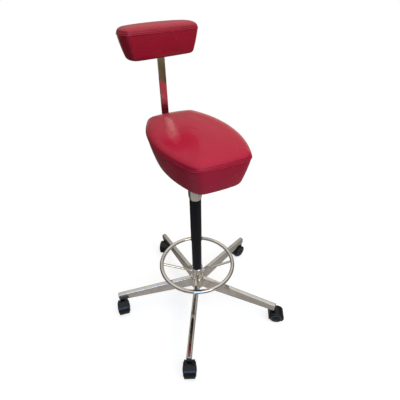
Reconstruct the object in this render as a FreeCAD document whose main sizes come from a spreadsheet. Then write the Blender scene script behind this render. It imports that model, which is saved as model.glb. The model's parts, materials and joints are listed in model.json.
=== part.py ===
import FreeCAD, Part
import math
import os
import re
import Sketcher

Vector = FreeCAD.Vector
Rotation = FreeCAD.Rotation
Z_AXIS = Vector(0, 0, 1)

# Perch stool on a five-arm caster base. Millimetres and degrees, +Z up, the origin on the floor under the
# column. The sitter faces -Y, so +Y is the back and +X is the sitter's left.
SIZES = {
    # Clearances: between fixed pieces, in a running fit, and between pieces that pass each other
    "fit_gap": 0.05,
    "running_gap": 0.05,
    "pass_gap": 0.35,
    # Star base of polished aluminium
    "arm_count": 5,
    "arm_heading": 167.9,
    "arm_reach": 345,
    "arm_width": 19,
    "arm_clearance": 6,
    "arm_tip_roof": 4,
    "arm_root_drop": 2,
    "arm_edge_round": 4,
    "arm_end_bevel": 2,
    "hub_wall": 10.25,
    "hub_height": 55,
    "hub_lip": 4,
    "hub_lip_width": 3.75,
    "hub_bevel": 3,
    # Twin-wheel casters: the way each one trails in its resting position, then their shared sizes
    "left_trail": -98.7,
    "front_trail": -113.7,
    "right_trail": -31.7,
    "rear_right_trail": 198.3,
    "rear_left_trail": -120.7,
    "stem_margin": 12,
    "stem_diameter": 11,
    "stem_engagement": 22,
    "stem_foot_rise": 7,
    "stem_wall": 1.5,
    "socket_spare": 2,
    "neck_wall": 4,
    "neck_gap": 0.5,
    "wheel_diameter": 54,
    "wheel_trail": 20,
    "wheel_rim_edge": 2,
    "wheel_overhang": 4,
    "wheel_shoulder": 7,
    "wheel_ring_width": 2,
    "wheel_ring_stand": 1.2,
    "wheel_dome": 3.5,
    "wheel_hub_depth": 14,
    "web_gap": 0.5,
    "hood_gap": 1.5,
    "hood_wall": 2.5,
    "hood_width": 40,
    "hood_heel": 25,
    "hood_lip": 38,
    "axle_diameter": 8,
    # Gas spring in the column, with the bearing that it turns on
    "rod_diameter": 10,
    "rod_tail": 3,
    "shoulder_width": 3.5,
    "shoulder_height": 6,
    "neck_step": 1.5,
    "groove_depth": 1,
    "clip_stand": 3.5,
    "clip_thickness": 1,
    "clip_sweep": 310,
    "race_gap": 0.5,
    "race_width": 6.5,
    "race_thickness": 2,
    "ball_count": 10,
    "ball_diameter": 4,
    "cage_thickness": 1.6,
    "cylinder_diameter": 28,
    "cylinder_wall": 1.5,
    "cylinder_depth": 150,
    "cylinder_stand": 12,
    "cylinder_plug": 16,
    "guide_length": 14,
    "piston_rise": 82,
    "piston_height": 16,
    "seal_height": 4,
    "seal_depth": 2.5,
    "pin_diameter": 6,
    "pin_stand": 8,
    "pin_tail": 4,
    # Column round the gas spring: guide bush, stand tube, outer sleeve and chrome head
    "bush_wall": 3.65,
    "bush_length": 88,
    "tube_wall": 2,
    "tube_length": 324,
    "tube_floor": 4,
    "sleeve_wall": 1.4,
    "sleeve_overlap": 64,
    "sleeve_length": 206,
    "sleeve_cap": 5,
    "head_height": 70,
    "head_belly_rise": 22,
    "head_belly_swell": 3.5,
    "head_neck_swell": 1,
    # Foot ring with its collar and bent spokes, all measured up from the top of the hub
    "ring_diameter": 298,
    "ring_tube": 16,
    "ring_rise": 79,
    "spoke_count": 4,
    "spoke_heading": -22.6,
    "spoke_tube": 10.5,
    "spoke_foot_rise": 28,
    "spoke_bend_reach": 60,
    "spoke_bend_rise": 45.5,
    "spoke_bend_radius": 60,
    "collar_wall": 4,
    "collar_height": 55,
    "collar_bevel": 1.5,
    "set_screw": 6,
    "set_screw_rise": 35,
    # Channel, plate and lever under the seat
    "plate_width": 130,
    "plate_thickness": 4,
    "plate_corner": 15,
    "plate_end_margin": 17,
    "plate_side_margin": 15,
    "bolt_diameter": 6,
    "bolt_head": 12,
    "bolt_head_height": 4,
    "bolt_grip": 10,
    "channel_length": 90,
    "channel_width": 62,
    "channel_height": 66,
    "channel_wall": 3,
    "channel_floor": 5,
    "pivot_reach": 22,
    "pivot_diameter": 8,
    "lever_boss": 16,
    "lever_boss_length": 30,
    "lever_width": 12,
    "lever_thickness": 6,
    "lever_lap": 2.5,
    "lever_nose": 7,
    "lever_rod": 8,
    "lever_reach": 112,
    "lever_pin_gap": 0.5,
    "knob_diameter": 18,
    "knob_throat": 12.6,
    "knob_tip": 5.4,
    "knob_taper": 17,
    "knob_grip": 8.5,
    "knob_nose": 8.5,
    "knob_cover": 20,
    # Seat: outline at the seam, then the heights and insets of its form
    "seat_front": 204,
    "seat_back": 198,
    "seat_front_half": 84,
    "seat_middle_half": 136,
    "seat_back_half": 87,
    "seat_front_bow": 6,
    "seat_back_bow": 14,
    "seat_corner": 34,
    "seat_boxing": 94,
    "seat_taper": 24,
    "seat_depth_taper": 24,
    "seat_bottom_round": 18,
    "seat_crown": 27,
    "seat_edge_swell": 1.4,
    "seat_dome_inset": 84,
    "board_thickness": 12,
    "board_margin": 4,
    "cover_thickness": 2,
    "foam_gap": 0.3,
    # Back: flat bar, the pin and block that the pad turns on, board and pad
    "bar_width": 25,
    "bar_thickness": 8,
    "bar_stand": 48,
    "bar_bend": 22,
    "bar_channel_gap": 11,
    "bar_bolt_inset": 14,
    "bar_bolt_pitch": 24,
    "bar_bolt_margin": 15,
    "bar_cover": 22,
    "back_heading": 11.5,
    "back_pin": 12,
    "back_pin_flange": 26,
    "back_pin_flange_height": 4,
    "back_pin_room": 28,
    "block_width": 46,
    "block_depth": 30,
    "block_height": 34,
    "nut_diameter": 22,
    "nut_height": 6,
    "back_rise": 289,
    "back_depth_half": 42,
    "back_end_half": 131,
    "back_middle_half": 141,
    "back_bow": 5,
    "back_corner": 15,
    "back_boxing": 76,
    "back_taper": 20,
    "back_depth_taper": 5,
    "back_bottom_round": 14,
    "back_crown": 23,
    "back_edge_swell": 1.15,
    "back_dome_inset": 36,
    "panel_width": 170,
    "panel_height": 62,
    "panel_thickness": 10,
    "panel_rise": 11,
    "screw_diameter": 5,
    "screw_head": 9,
    "screw_head_height": 3.5,
    "screw_length": 41,
    "screw_spread": 32,
}
CASTERS = ("left", "front", "right", "rear_right", "rear_left")

# Radii that several pieces share, written in the names of the sheet, from the gas spring outwards
ROD_RADIUS = "(rod_diameter / 2)"
RACE_BORE = f"({ROD_RADIUS} + race_gap)"
RACE_RADIUS = f"({RACE_BORE} + race_width)"
CYLINDER_RADIUS = "(cylinder_diameter / 2)"
CYLINDER_BORE = "(cylinder_diameter / 2 - cylinder_wall)"
BUSH_BORE = f"({CYLINDER_RADIUS} + running_gap)"
BUSH_RADIUS = f"({BUSH_BORE} + bush_wall)"
TUBE_BORE = f"({BUSH_RADIUS} + fit_gap)"
TUBE_RADIUS = f"({TUBE_BORE} + tube_wall)"
TUBE_SEAT = f"({TUBE_RADIUS} + fit_gap)"
HUB_RADIUS = f"({TUBE_RADIUS} + hub_wall)"
COLLAR_RADIUS = f"({TUBE_RADIUS} + collar_wall)"
SLEEVE_BORE = f"({TUBE_RADIUS} + pass_gap)"
SLEEVE_RADIUS = f"({SLEEVE_BORE} + sleeve_wall)"
WHEEL_RADIUS = "(wheel_diameter / 2)"
HOOD_BORE = f"({WHEEL_RADIUS} + hood_gap)"
HOOD_RADIUS = f"({HOOD_BORE} + hood_wall)"
WEB_HALF = "(stem_diameter / 2 + stem_wall)"
STEM_CIRCLE = "(arm_reach - stem_margin)"

# Levels that several pieces share, from the floor upwards
ARM_BOTTOM = f"({WHEEL_RADIUS} + {HOOD_RADIUS} + arm_clearance)"
ARM_TIP_TOP = f"({ARM_BOTTOM} + stem_engagement + socket_spare + arm_tip_roof)"
STEM_FOOT = f"({WHEEL_RADIUS} + stem_foot_rise)"
HUB_TOP = f"({ARM_BOTTOM} + hub_height)"
TUBE_BOTTOM = f"({ARM_BOTTOM} + hub_lip)"
TUBE_TOP = f"({TUBE_BOTTOM} + tube_length)"
BEARING_BASE = f"({TUBE_BOTTOM} + tube_floor)"
SHOULDER_BASE = f"({BEARING_BASE} + 2 * race_thickness + ball_diameter + 2 * running_gap)"
CYLINDER_BOTTOM = f"({TUBE_TOP} - cylinder_depth)"
PISTON_LEVEL = f"({CYLINDER_BOTTOM} + piston_rise)"
SLEEVE_BOTTOM = f"({TUBE_TOP} - sleeve_overlap)"
SLEEVE_TOP = f"({SLEEVE_BOTTOM} + sleeve_length)"
HEAD_TOP = f"({SLEEVE_TOP} + head_height)"
CYLINDER_TOP = f"({HEAD_TOP} + cylinder_stand)"
LEVER_BOTTOM = f"({CYLINDER_TOP} + pin_stand + lever_pin_gap)"
PIVOT_LEVEL = f"({LEVER_BOTTOM} + lever_thickness + lever_boss / 2 - lever_lap)"
PLATE_BOTTOM = f"({HEAD_TOP} + channel_height)"
SEAT_BOTTOM = f"({PLATE_BOTTOM} + plate_thickness)"
RING_LEVEL = f"({HUB_TOP} + ring_rise)"
COLLAR_TOP = f"({HUB_TOP} + collar_height)"
BACK_BOTTOM = f"({SEAT_BOTTOM} + back_rise)"
PANEL_BOTTOM = f"({BACK_BOTTOM} + panel_rise)"
BAR_TOP = f"({BACK_BOTTOM} + bar_cover)"
FLANGE_TOP = f"({BAR_TOP} + back_pin_flange_height)"
BLOCK_BOTTOM = f"({FLANGE_TOP} + running_gap)"
BLOCK_TOP = f"({BLOCK_BOTTOM} + block_height)"
NUT_BOTTOM = f"({BLOCK_TOP} + running_gap)"
PIN_TOP = f"({NUT_BOTTOM} + nut_height)"
BAR_BOTTOM = f"({PLATE_BOTTOM} - bar_thickness)"

# Distances behind the column: the bar's bolts set the plate's length, and the seat's back sets the bar
BAR_START = "(channel_width / 2 + bar_channel_gap)"
PLATE_HALF = f"({BAR_START} + bar_bolt_inset + bar_bolt_pitch + bar_bolt_margin)"
BAR_REACH = "(seat_back + seat_back_bow + bar_stand)"
BAR_FRONT = f"({BAR_REACH} - bar_thickness / 2)"
BAR_BACK = f"({BAR_REACH} + bar_thickness / 2)"

doc = FreeCAD.newDocument("perch_stool")
sheet = doc.addObject("Spreadsheet::Sheet", "Sizes")
for row, (name, number) in enumerate(SIZES.items(), start=1):
    sheet.set(f"A{row}", name)
    sheet.set(f"B{row}", str(number))
    sheet.setAlias(f"B{row}", name)
doc.recompute()
pieces = []


def formula(words):
    """Point each name in a formula at its cell; every name there holds an underscore."""
    return re.sub(r"\b[a-z]+(?:_[a-z]+)+\b", r"Sizes.\g<0>", str(words))


def value(words):
    return float(sheet.evalExpression(formula(words)))


def bind(item, **formulas):
    for prop, words in formulas.items():
        item.setExpression(prop, formula(words))


def place(item, x="0", y="0", z="0", turn=Rotation()):
    """Give an object its place, bound to the sheet, and its turn."""
    item.Placement = FreeCAD.Placement(Vector(), turn)
    for axis, words in (("x", x), ("y", y), ("z", z)):
        item.setExpression(f"Placement.Base.{axis}", formula(words))
    return item


def keep(item, label):
    """List an object as a sub-part under the name of its file."""
    item.Label = label
    pieces.append(item)
    return item


def new_body(name):
    return doc.addObject("PartDesign::Body", f"{name}_body")


def new_sketch(body, name, plane, level="0"):
    """Attach a sketch to one of the body's own planes, raised along that plane's normal."""
    sketch = body.newObject("Sketcher::SketchObject", name)
    support = [item for item in body.Origin.OriginFeatures if item.Role == plane]
    sketch.AttachmentSupport = [(support[0], "")]
    sketch.MapMode = "FlatFace"
    sketch.setExpression("AttachmentOffset.Base.z", formula(level))
    return sketch


def fix_point(sketch, edge, end, across, up):
    """Hold one point of a sketch at the place that two formulas give."""
    for kind, words, axis in (("DistanceX", across, -2), ("DistanceY", up, -1)):
        number = value(words)
        if abs(number) < 1e-9:
            sketch.addConstraint(Sketcher.Constraint("PointOnObject", edge, end, axis))
            continue
        if number > 0:
            index = sketch.addConstraint(Sketcher.Constraint(kind, -1, 1, edge, end, number))
            sketch.setExpression(f"Constraints[{index}]", formula(words))
        else:
            index = sketch.addConstraint(Sketcher.Constraint(kind, edge, end, -1, 1, -number))
            sketch.setExpression(f"Constraints[{index}]", formula(f"-({words})"))


def arc_between(first, last, bow):
    """The arc from first to last; a positive bow has its centre on the left of the way there."""
    chord = last - first
    radius = abs(bow)
    rise = math.sqrt(radius ** 2 - (chord.Length / 2) ** 2)
    left = Vector(-chord.y, chord.x, 0).normalize()
    centre = (first + last) * 0.5 + left * math.copysign(rise, bow)
    start, stop = (first, last) if bow > 0 else (last, first)
    angles = [math.atan2(point.y - centre.y, point.x - centre.x) for point in (start, stop)]
    return Part.ArcOfCircle(Part.Circle(centre, Z_AXIS, radius), angles[0], angles[1])


def draw(sketch, corners, closed=True):
    """Draw an outline; a corner's third formula, if any, is the signed radius of the arc that leaves it."""
    points = [Vector(value(corner[0]), value(corner[1]), 0) for corner in corners]
    count = len(corners) if closed else len(corners) - 1
    ends = []
    for index in range(count):
        first = points[index]
        last = points[(index + 1) % len(points)]
        bow = corners[index][2] if len(corners[index]) > 2 else None
        if bow is None:
            edge = sketch.addGeometry(Part.LineSegment(first, last))
            ends.append((edge, 1, 2))
        else:
            edge = sketch.addGeometry(arc_between(first, last, value(bow)))
            ends.append((edge, 1, 2) if value(bow) > 0 else (edge, 2, 1))
            radius = sketch.addConstraint(Sketcher.Constraint("Radius", edge, abs(value(bow))))
            sketch.setExpression(f"Constraints[{radius}]", formula(f"abs({bow})"))
    for index, (edge, start, stop) in enumerate(ends):
        fix_point(sketch, edge, start, corners[index][0], corners[index][1])
        if index + 1 < count or closed:
            following = ends[(index + 1) % count]
            link = Sketcher.Constraint("Coincident", edge, stop, following[0], following[1])
            sketch.addConstraint(link)
        else:
            fix_point(sketch, edge, stop, corners[-1][0], corners[-1][1])
    return sketch


def draw_circles(sketch, circles):
    """Draw circles, each given by two formulas for its centre and one for its diameter."""
    for across, up, diameter in circles:
        centre = Vector(value(across), value(up), 0)
        edge = sketch.addGeometry(Part.Circle(centre, Z_AXIS, value(diameter) / 2))
        fix_point(sketch, edge, 3, across, up)
        index = sketch.addConstraint(Sketcher.Constraint("Diameter", edge, value(diameter)))
        sketch.setExpression(f"Constraints[{index}]", formula(diameter))
    return sketch


def revolve(body, name, corners, angle=360):
    """Turn an outline of radius and height about the body's Z axis."""
    sketch = draw(new_sketch(body, f"{name}_outline", "XZ_Plane"), corners)
    turned = body.newObject("PartDesign::Revolution", name)
    turned.Profile = sketch
    turned.ReferenceAxis = (sketch, ["V_Axis"])
    turned.Angle = angle
    return turned


def pad(body, name, sketch, length, midplane=True):
    feature = body.newObject("PartDesign::Pad", name)
    feature.Profile = sketch
    feature.Midplane = midplane
    bind(feature, Length=length)
    return feature


def drill(body, name, sketch):
    """Cut a sketch right through the body, both ways."""
    feature = body.newObject("PartDesign::Pocket", name)
    feature.Profile = sketch
    feature.Type = "ThroughAll"
    feature.Midplane = True
    return feature


def turned_piece(label, corners, angle=360, **where):
    """A piece made on a lathe: one body with one turned outline."""
    body = new_body(label)
    revolve(body, f"{label}_turning", corners, angle)
    return place(body, **where)


def ring_outline(inner, outer, low, high):
    return [(inner, low), (outer, low), (outer, high), (inner, high)]


def cylinder(name, diameter, length, **where):
    item = doc.addObject("Part::Cylinder", name)
    bind(item, Radius=f"({diameter}) / 2", Height=length)
    return place(item, **where)


def cut(name, base, tool):
    item = doc.addObject("Part::Cut", name)
    item.Base = base
    item.Tool = tool
    return item


def group(name, members):
    item = doc.addObject("Part::Compound", name)
    item.Links = members
    return item


# Star base: a bored hub and five tapering arms, each with a blind socket under its tip for a caster stem
def arm_section(top, inset):
    side = f"(arm_width / 2 - {inset})"
    flat = f"({side} - arm_edge_round)"
    low = f"({ARM_BOTTOM} + {inset})"
    high = f"({top} - {inset})"
    shoulder = f"({high} - arm_edge_round)"
    return [
        (f"-{side}", low),
        (side, low),
        (side, shoulder, "arm_edge_round"),
        (flat, high),
        (f"-{flat}", high, "arm_edge_round"),
        (f"-{side}", shoulder),
    ]


def star_base():
    body = new_body("star_base")
    lip_bore = f"({TUBE_RADIUS} - hub_lip_width)"
    revolve(body, "hub", [
        (lip_bore, ARM_BOTTOM),
        (HUB_RADIUS, ARM_BOTTOM),
        (HUB_RADIUS, f"{HUB_TOP} - hub_bevel"),
        (f"{HUB_RADIUS} - hub_bevel", HUB_TOP),
        (TUBE_SEAT, HUB_TOP),
        (TUBE_SEAT, TUBE_BOTTOM),
        (lip_bore, TUBE_BOTTOM),
    ])
    middle_of_wall = f"{TUBE_RADIUS} + hub_wall / 2"
    stations = [
        (middle_of_wall, f"({HUB_TOP} - arm_root_drop)", "0"),
        ("arm_reach - arm_end_bevel", ARM_TIP_TOP, "0"),
        ("arm_reach", ARM_TIP_TOP, "arm_end_bevel"),
    ]
    sections = []
    for index, (reach, top, inset) in enumerate(stations):
        sketch = new_sketch(body, f"arm_section_{index}", "YZ_Plane", reach)
        sections.append(draw(sketch, arm_section(top, inset)))
    arm = body.newObject("PartDesign::AdditiveLoft", "arm")
    arm.Profile = sections[0]
    arm.Sections = sections[1:]
    arm.Ruled = True
    opening = new_sketch(body, "socket_circle", "XY_Plane", ARM_BOTTOM)
    draw_circles(opening, [(STEM_CIRCLE, "0", "stem_diameter + 2 * running_gap")])
    socket = body.newObject("PartDesign::Pocket", "stem_socket")
    socket.Profile = opening
    socket.Reversed = True
    bind(socket, Length="stem_engagement + socket_spare")
    arms = body.newObject("PartDesign::PolarPattern", "arms")
    arms.Originals = [arm, socket]
    arms.Axis = (opening, ["N_Axis"])
    arms.Angle = 360
    bind(arms, Occurrences="arm_count")
    body.Tip = arms
    place(body, turn=Rotation(Z_AXIS, value("arm_heading")))
    keep(body, "star_base")


# Casters: a stem that turns in the arm's socket, a hood with a central web, an axle and two domed wheels.
# The hood wraps the wheels from behind the stem over the top and down the front, to a lip near the floor.
def caster_hood(label):
    body = new_body(label)
    axle_level = WHEEL_RADIUS
    heel = (f"wheel_trail - {HOOD_RADIUS} * cos(hood_heel)", f"{axle_level} - {HOOD_RADIUS} * sin(hood_heel)")
    lip = (f"wheel_trail + {HOOD_RADIUS} * cos(hood_lip)", f"{axle_level} - {HOOD_RADIUS} * sin(hood_lip)")
    side = new_sketch(body, f"{label}_side", "XZ_Plane")
    draw(side, [
        heel,
        (*lip, HOOD_RADIUS),
        ("wheel_trail", f"{axle_level} + {HOOD_RADIUS}", HOOD_RADIUS),
    ])
    pad(body, f"{label}_drum", side, "hood_width")
    neck = new_sketch(body, f"{label}_neck_circle", "XY_Plane", axle_level)
    draw_circles(neck, [("0", "0", "stem_diameter + 2 * neck_wall")])
    pad(body, f"{label}_neck", neck, f"{ARM_BOTTOM} - neck_gap - {axle_level}", midplane=False)
    for end in (1, -1):
        well = new_sketch(body, f"{label}_well_circle", "XZ_Plane", f"{end} * {WEB_HALF}")
        draw_circles(well, [("wheel_trail", axle_level, f"2 * {HOOD_BORE}")])
        pocket = body.newObject("PartDesign::Pocket", f"{label}_well")
        pocket.Profile = well
        pocket.Reversed = end > 0
        bind(pocket, Length="hood_width")
    axle_hole = new_sketch(body, f"{label}_axle_circle", "XZ_Plane")
    draw_circles(axle_hole, [("wheel_trail", axle_level, "axle_diameter + 2 * fit_gap")])
    drill(body, f"{label}_axle_hole", axle_hole)
    stem_hole = new_sketch(body, f"{label}_stem_circle", "XY_Plane", STEM_FOOT)
    draw_circles(stem_hole, [("0", "0", "stem_diameter + 2 * fit_gap")])
    pocket = body.newObject("PartDesign::Pocket", f"{label}_stem_hole")
    pocket.Profile = stem_hole
    pocket.Reversed = True
    bind(pocket, Length=ARM_BOTTOM)
    return body


def caster_wheel(label):
    rim = WHEEL_RADIUS
    bore = "(axle_diameter / 2 + running_gap)"
    inner = f"({WEB_HALF} + web_gap)"
    ring = "(hood_width / 2 + wheel_overhang)"
    ring_inside = f"({rim} - wheel_shoulder - wheel_ring_width)"
    disc = f"({ring} - wheel_ring_stand)"
    crest = f"({disc} + wheel_dome)"
    dome = f"(({ring_inside} * {ring_inside} + wheel_dome * wheel_dome) / (2 * wheel_dome))"
    body = new_body(label)
    revolve(body, f"{label}_turning", [
        (bore, inner),
        (f"{rim} - wheel_rim_edge", inner),
        (rim, f"{inner} + wheel_rim_edge"),
        (rim, f"{ring} - wheel_shoulder", "wheel_shoulder"),
        (f"{rim} - wheel_shoulder", ring),
        (ring_inside, ring),
        (ring_inside, disc, dome),
        ("0", crest),
        ("0", f"{inner} + wheel_hub_depth"),
        (bore, f"{inner} + wheel_hub_depth"),
    ])
    return body


def casters():
    for index, side in enumerate(CASTERS):
        heading = f"(arm_heading + 360 / arm_count * {index})"
        trail = f"{side}_trail"
        turn = Rotation(Z_AXIS, value(trail))
        stem_x = f"{STEM_CIRCLE} * cos({heading})"
        stem_y = f"{STEM_CIRCLE} * sin({heading})"
        axle_x = f"{stem_x} + wheel_trail * cos({trail})"
        axle_y = f"{stem_y} + wheel_trail * sin({trail})"
        stem_length = f"{ARM_BOTTOM} + stem_engagement - {STEM_FOOT}"
        stem = cylinder(f"{side}_stem", "stem_diameter", stem_length, x=stem_x, y=stem_y, z=STEM_FOOT)
        keep(stem, f"caster_{side}_stem")
        hood = caster_hood(f"caster_{side}_hood")
        keep(place(hood, x=stem_x, y=stem_y, turn=turn), f"caster_{side}_hood")
        reach = f"({WEB_HALF} + wheel_hub_depth)"
        along_axle = turn.multiply(Rotation(Vector(1, 0, 0), -90))
        axle = cylinder(
            f"{side}_axle",
            "axle_diameter",
            f"2 * {reach}",
            x=f"{axle_x} + {reach} * sin({trail})",
            y=f"{axle_y} - {reach} * cos({trail})",
            z=WHEEL_RADIUS,
            turn=along_axle,
        )
        keep(axle, f"caster_{side}_axle")
        for end, flip in (("inner", 0), ("outer", 180)):
            label = f"caster_{side}_wheel_{end}"
            about = Rotation(Z_AXIS, value(trail) + flip).multiply(Rotation(Vector(1, 0, 0), -90))
            keep(place(caster_wheel(label), x=axle_x, y=axle_y, z=WHEEL_RADIUS, turn=about), label)


# Stand tube, pressed into the hub, with the bush that guides the gas cylinder in its mouth
def stand_tube():
    rod_hole = f"({ROD_RADIUS} + pass_gap)"
    tube = turned_piece("stand_tube", [
        (rod_hole, TUBE_BOTTOM),
        (TUBE_RADIUS, TUBE_BOTTOM),
        (TUBE_RADIUS, TUBE_TOP),
        (TUBE_BORE, TUBE_TOP),
        (TUBE_BORE, BEARING_BASE),
        (rod_hole, BEARING_BASE),
    ])
    keep(tube, "stand_tube")
    bush = ring_outline(BUSH_BORE, BUSH_RADIUS, f"({TUBE_TOP} - bush_length)", TUBE_TOP)
    keep(turned_piece("guide_bush", bush), "guide_bush")


# Thrust bearing between the tube's floor and the rod: two races and a cage of balls
def thrust_bearing():
    lower_top = f"({BEARING_BASE} + race_thickness)"
    upper_base = f"({SHOULDER_BASE} - race_thickness)"
    lower = ring_outline(RACE_BORE, RACE_RADIUS, BEARING_BASE, lower_top)
    keep(turned_piece("lower_race", lower), "lower_race")
    upper = ring_outline(RACE_BORE, RACE_RADIUS, upper_base, SHOULDER_BASE)
    keep(turned_piece("upper_race", upper), "upper_race")
    middle = f"({lower_top} + running_gap + ball_diameter / 2)"
    ball_circle = f"(({RACE_BORE} + {RACE_RADIUS}) / 2)"
    balls = []
    holes = []
    for index in range(int(value("ball_count"))):
        angle = f"360 / ball_count * {index}"
        x = f"{ball_circle} * cos({angle})"
        y = f"{ball_circle} * sin({angle})"
        ball = doc.addObject("Part::Sphere", "ball")
        bind(ball, Radius="ball_diameter / 2")
        balls.append(place(ball, x=x, y=y, z=middle))
        holes.append((x, y, "ball_diameter + 2 * running_gap"))
    keep(group("balls", balls), "thrust_balls")
    cage = new_body("ball_cage")
    blank = new_sketch(cage, "cage_outline", "XY_Plane", middle)
    draw_circles(blank, [("0", "0", f"2 * {RACE_RADIUS}"), ("0", "0", f"2 * {RACE_BORE}")])
    pad(cage, "cage_ring", blank, "cage_thickness")
    drill(cage, "cage_holes", draw_circles(new_sketch(cage, "cage_circles", "XY_Plane"), holes))
    keep(cage, "ball_cage")


# Gas spring: the rod stands on the bearing and carries the piston; the cylinder slides over both
def gas_spring():
    tail = f"({TUBE_BOTTOM} - rod_tail)"
    groove_top = f"({TUBE_BOTTOM} - pass_gap)"
    groove_low = f"({groove_top} - clip_thickness - 2 * fit_gap)"
    shoulder_top = f"({SHOULDER_BASE} + shoulder_height)"
    piston_top = f"({PISTON_LEVEL} + piston_height)"
    groove = f"({ROD_RADIUS} - groove_depth)"
    shoulder = f"({RACE_BORE} + shoulder_width)"
    neck = f"({ROD_RADIUS} - neck_step)"
    rod = turned_piece("piston_rod", [
        ("0", tail),
        (ROD_RADIUS, tail),
        (ROD_RADIUS, groove_low),
        (groove, groove_low),
        (groove, groove_top),
        (ROD_RADIUS, groove_top),
        (ROD_RADIUS, SHOULDER_BASE),
        (shoulder, SHOULDER_BASE),
        (shoulder, shoulder_top),
        (ROD_RADIUS, shoulder_top),
        (ROD_RADIUS, PISTON_LEVEL),
        (neck, PISTON_LEVEL),
        (neck, piston_top),
        ("0", piston_top),
    ])
    keep(rod, "piston_rod")
    clip_low = f"({groove_low} + fit_gap)"
    clip_high = f"({clip_low} + clip_thickness)"
    clip = ring_outline(f"({groove} + fit_gap)", f"({ROD_RADIUS} + clip_stand)", clip_low, clip_high)
    keep(turned_piece("retaining_clip", clip, angle=value("clip_sweep")), "retaining_clip")
    piston_radius = f"({CYLINDER_BORE} - running_gap)"
    seal_low = f"({PISTON_LEVEL} + piston_height / 2 - seal_height / 2)"
    seal_high = f"({PISTON_LEVEL} + piston_height / 2 + seal_height / 2)"
    groove_radius = f"({piston_radius} - seal_depth)"
    neck_hole = f"({neck} + fit_gap)"
    piston = turned_piece("piston", [
        (neck_hole, PISTON_LEVEL),
        (piston_radius, PISTON_LEVEL),
        (piston_radius, seal_low),
        (groove_radius, seal_low),
        (groove_radius, seal_high),
        (piston_radius, seal_high),
        (piston_radius, piston_top),
        (neck_hole, piston_top),
    ])
    keep(piston, "piston")
    seal = ring_outline(
        f"({groove_radius} + fit_gap)",
        piston_radius,
        f"({seal_low} + fit_gap)",
        f"({seal_high} - fit_gap)",
    )
    keep(turned_piece("piston_seal", seal), "piston_seal")
    pin_hole = "(pin_diameter / 2 + running_gap)"
    plug_base = f"({CYLINDER_TOP} - cylinder_plug)"
    tube = turned_piece("gas_cylinder", [
        (CYLINDER_BORE, CYLINDER_BOTTOM),
        (CYLINDER_RADIUS, CYLINDER_BOTTOM),
        (CYLINDER_RADIUS, CYLINDER_TOP),
        (pin_hole, CYLINDER_TOP),
        (pin_hole, plug_base),
        (CYLINDER_BORE, plug_base),
    ])
    keep(tube, "gas_cylinder")
    guide = ring_outline(
        f"({ROD_RADIUS} + running_gap)",
        f"({CYLINDER_BORE} - fit_gap)",
        CYLINDER_BOTTOM,
        f"({CYLINDER_BOTTOM} + guide_length)",
    )
    keep(turned_piece("rod_guide", guide), "rod_guide")
    pin_length = "cylinder_plug + pin_tail + pin_stand"
    pin = cylinder("pin", "pin_diameter", pin_length, z=f"{plug_base} - pin_tail")
    keep(pin, "release_pin")


# Outer sleeve over the stand tube, and the ovoid chrome head on top of it
def swell_radius(rise, swell):
    """Radius of an arc that is upright at its full end and draws in by a swell over a rise."""
    return f"({rise} * {rise} / {swell} + {swell}) / 2"


def column_sleeve():
    hole = f"({CYLINDER_RADIUS} + fit_gap)"
    sleeve = turned_piece("column_sleeve", [
        (SLEEVE_BORE, SLEEVE_BOTTOM),
        (SLEEVE_RADIUS, SLEEVE_BOTTOM),
        (SLEEVE_RADIUS, SLEEVE_TOP),
        (hole, SLEEVE_TOP),
        (hole, f"{SLEEVE_TOP} - sleeve_cap"),
        (SLEEVE_BORE, f"{SLEEVE_TOP} - sleeve_cap"),
    ])
    keep(sleeve, "column_sleeve")
    belly = f"({SLEEVE_RADIUS} + head_belly_swell)"
    neck = f"({SLEEVE_RADIUS} + head_neck_swell)"
    low_arc = swell_radius("head_belly_rise", "head_belly_swell")
    high_arc = swell_radius("(head_height - head_belly_rise)", "(head_belly_swell - head_neck_swell)")
    head = turned_piece("seat_head", [
        (hole, SLEEVE_TOP),
        (SLEEVE_RADIUS, SLEEVE_TOP, low_arc),
        (belly, f"{SLEEVE_TOP} + head_belly_rise", high_arc),
        (neck, HEAD_TOP),
        (hole, HEAD_TOP),
    ])
    keep(head, "seat_head")


# Foot ring: a collar clamped on the tube by a set screw, four bent spokes and a round ring
def foot_ring():
    screw_level = f"({HUB_TOP} + set_screw_rise)"
    collar = turned_piece("foot_collar", [
        (TUBE_SEAT, HUB_TOP),
        (COLLAR_RADIUS, HUB_TOP),
        (COLLAR_RADIUS, f"{COLLAR_TOP} - collar_bevel"),
        (f"{COLLAR_RADIUS} - collar_bevel", COLLAR_TOP),
        (TUBE_SEAT, COLLAR_TOP),
    ])
    hole = new_sketch(collar, "screw_circle", "XZ_Plane")
    draw_circles(hole, [("0", screw_level, "set_screw + 2 * fit_gap")])
    pocket = collar.newObject("PartDesign::Pocket", "screw_hole")
    pocket.Profile = hole
    bind(pocket, Length=f"2 * {COLLAR_RADIUS}")
    keep(collar, "foot_collar")
    screw = cylinder(
        "grub",
        "set_screw",
        f"{COLLAR_RADIUS} - {TUBE_SEAT}",
        y=TUBE_SEAT,
        z=screw_level,
        turn=Rotation(Vector(1, 0, 0), -90),
    )
    keep(screw, "collar_set_screw")
    ring = doc.addObject("Part::Torus", "ring")
    bind(ring, Radius1="ring_diameter / 2", Radius2="ring_tube / 2")
    keep(place(ring, z=RING_LEVEL), "foot_ring")
    spokes = [spoke(index) for index in range(int(value("spoke_count")))]
    ring_room = doc.addObject("Part::Torus", "ring_room")
    bind(ring_room, Radius1="ring_diameter / 2", Radius2="ring_tube / 2 + fit_gap")
    place(ring_room, z=RING_LEVEL)
    collar_room = cylinder("collar_room", f"2 * ({COLLAR_RADIUS} + fit_gap)", RING_LEVEL)
    ends = group("spoke_ends", [ring_room, collar_room])
    trimmed = cut("trimmed_spokes", group("spokes", spokes), ends)
    keep(trimmed, "foot_ring_spokes")


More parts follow.
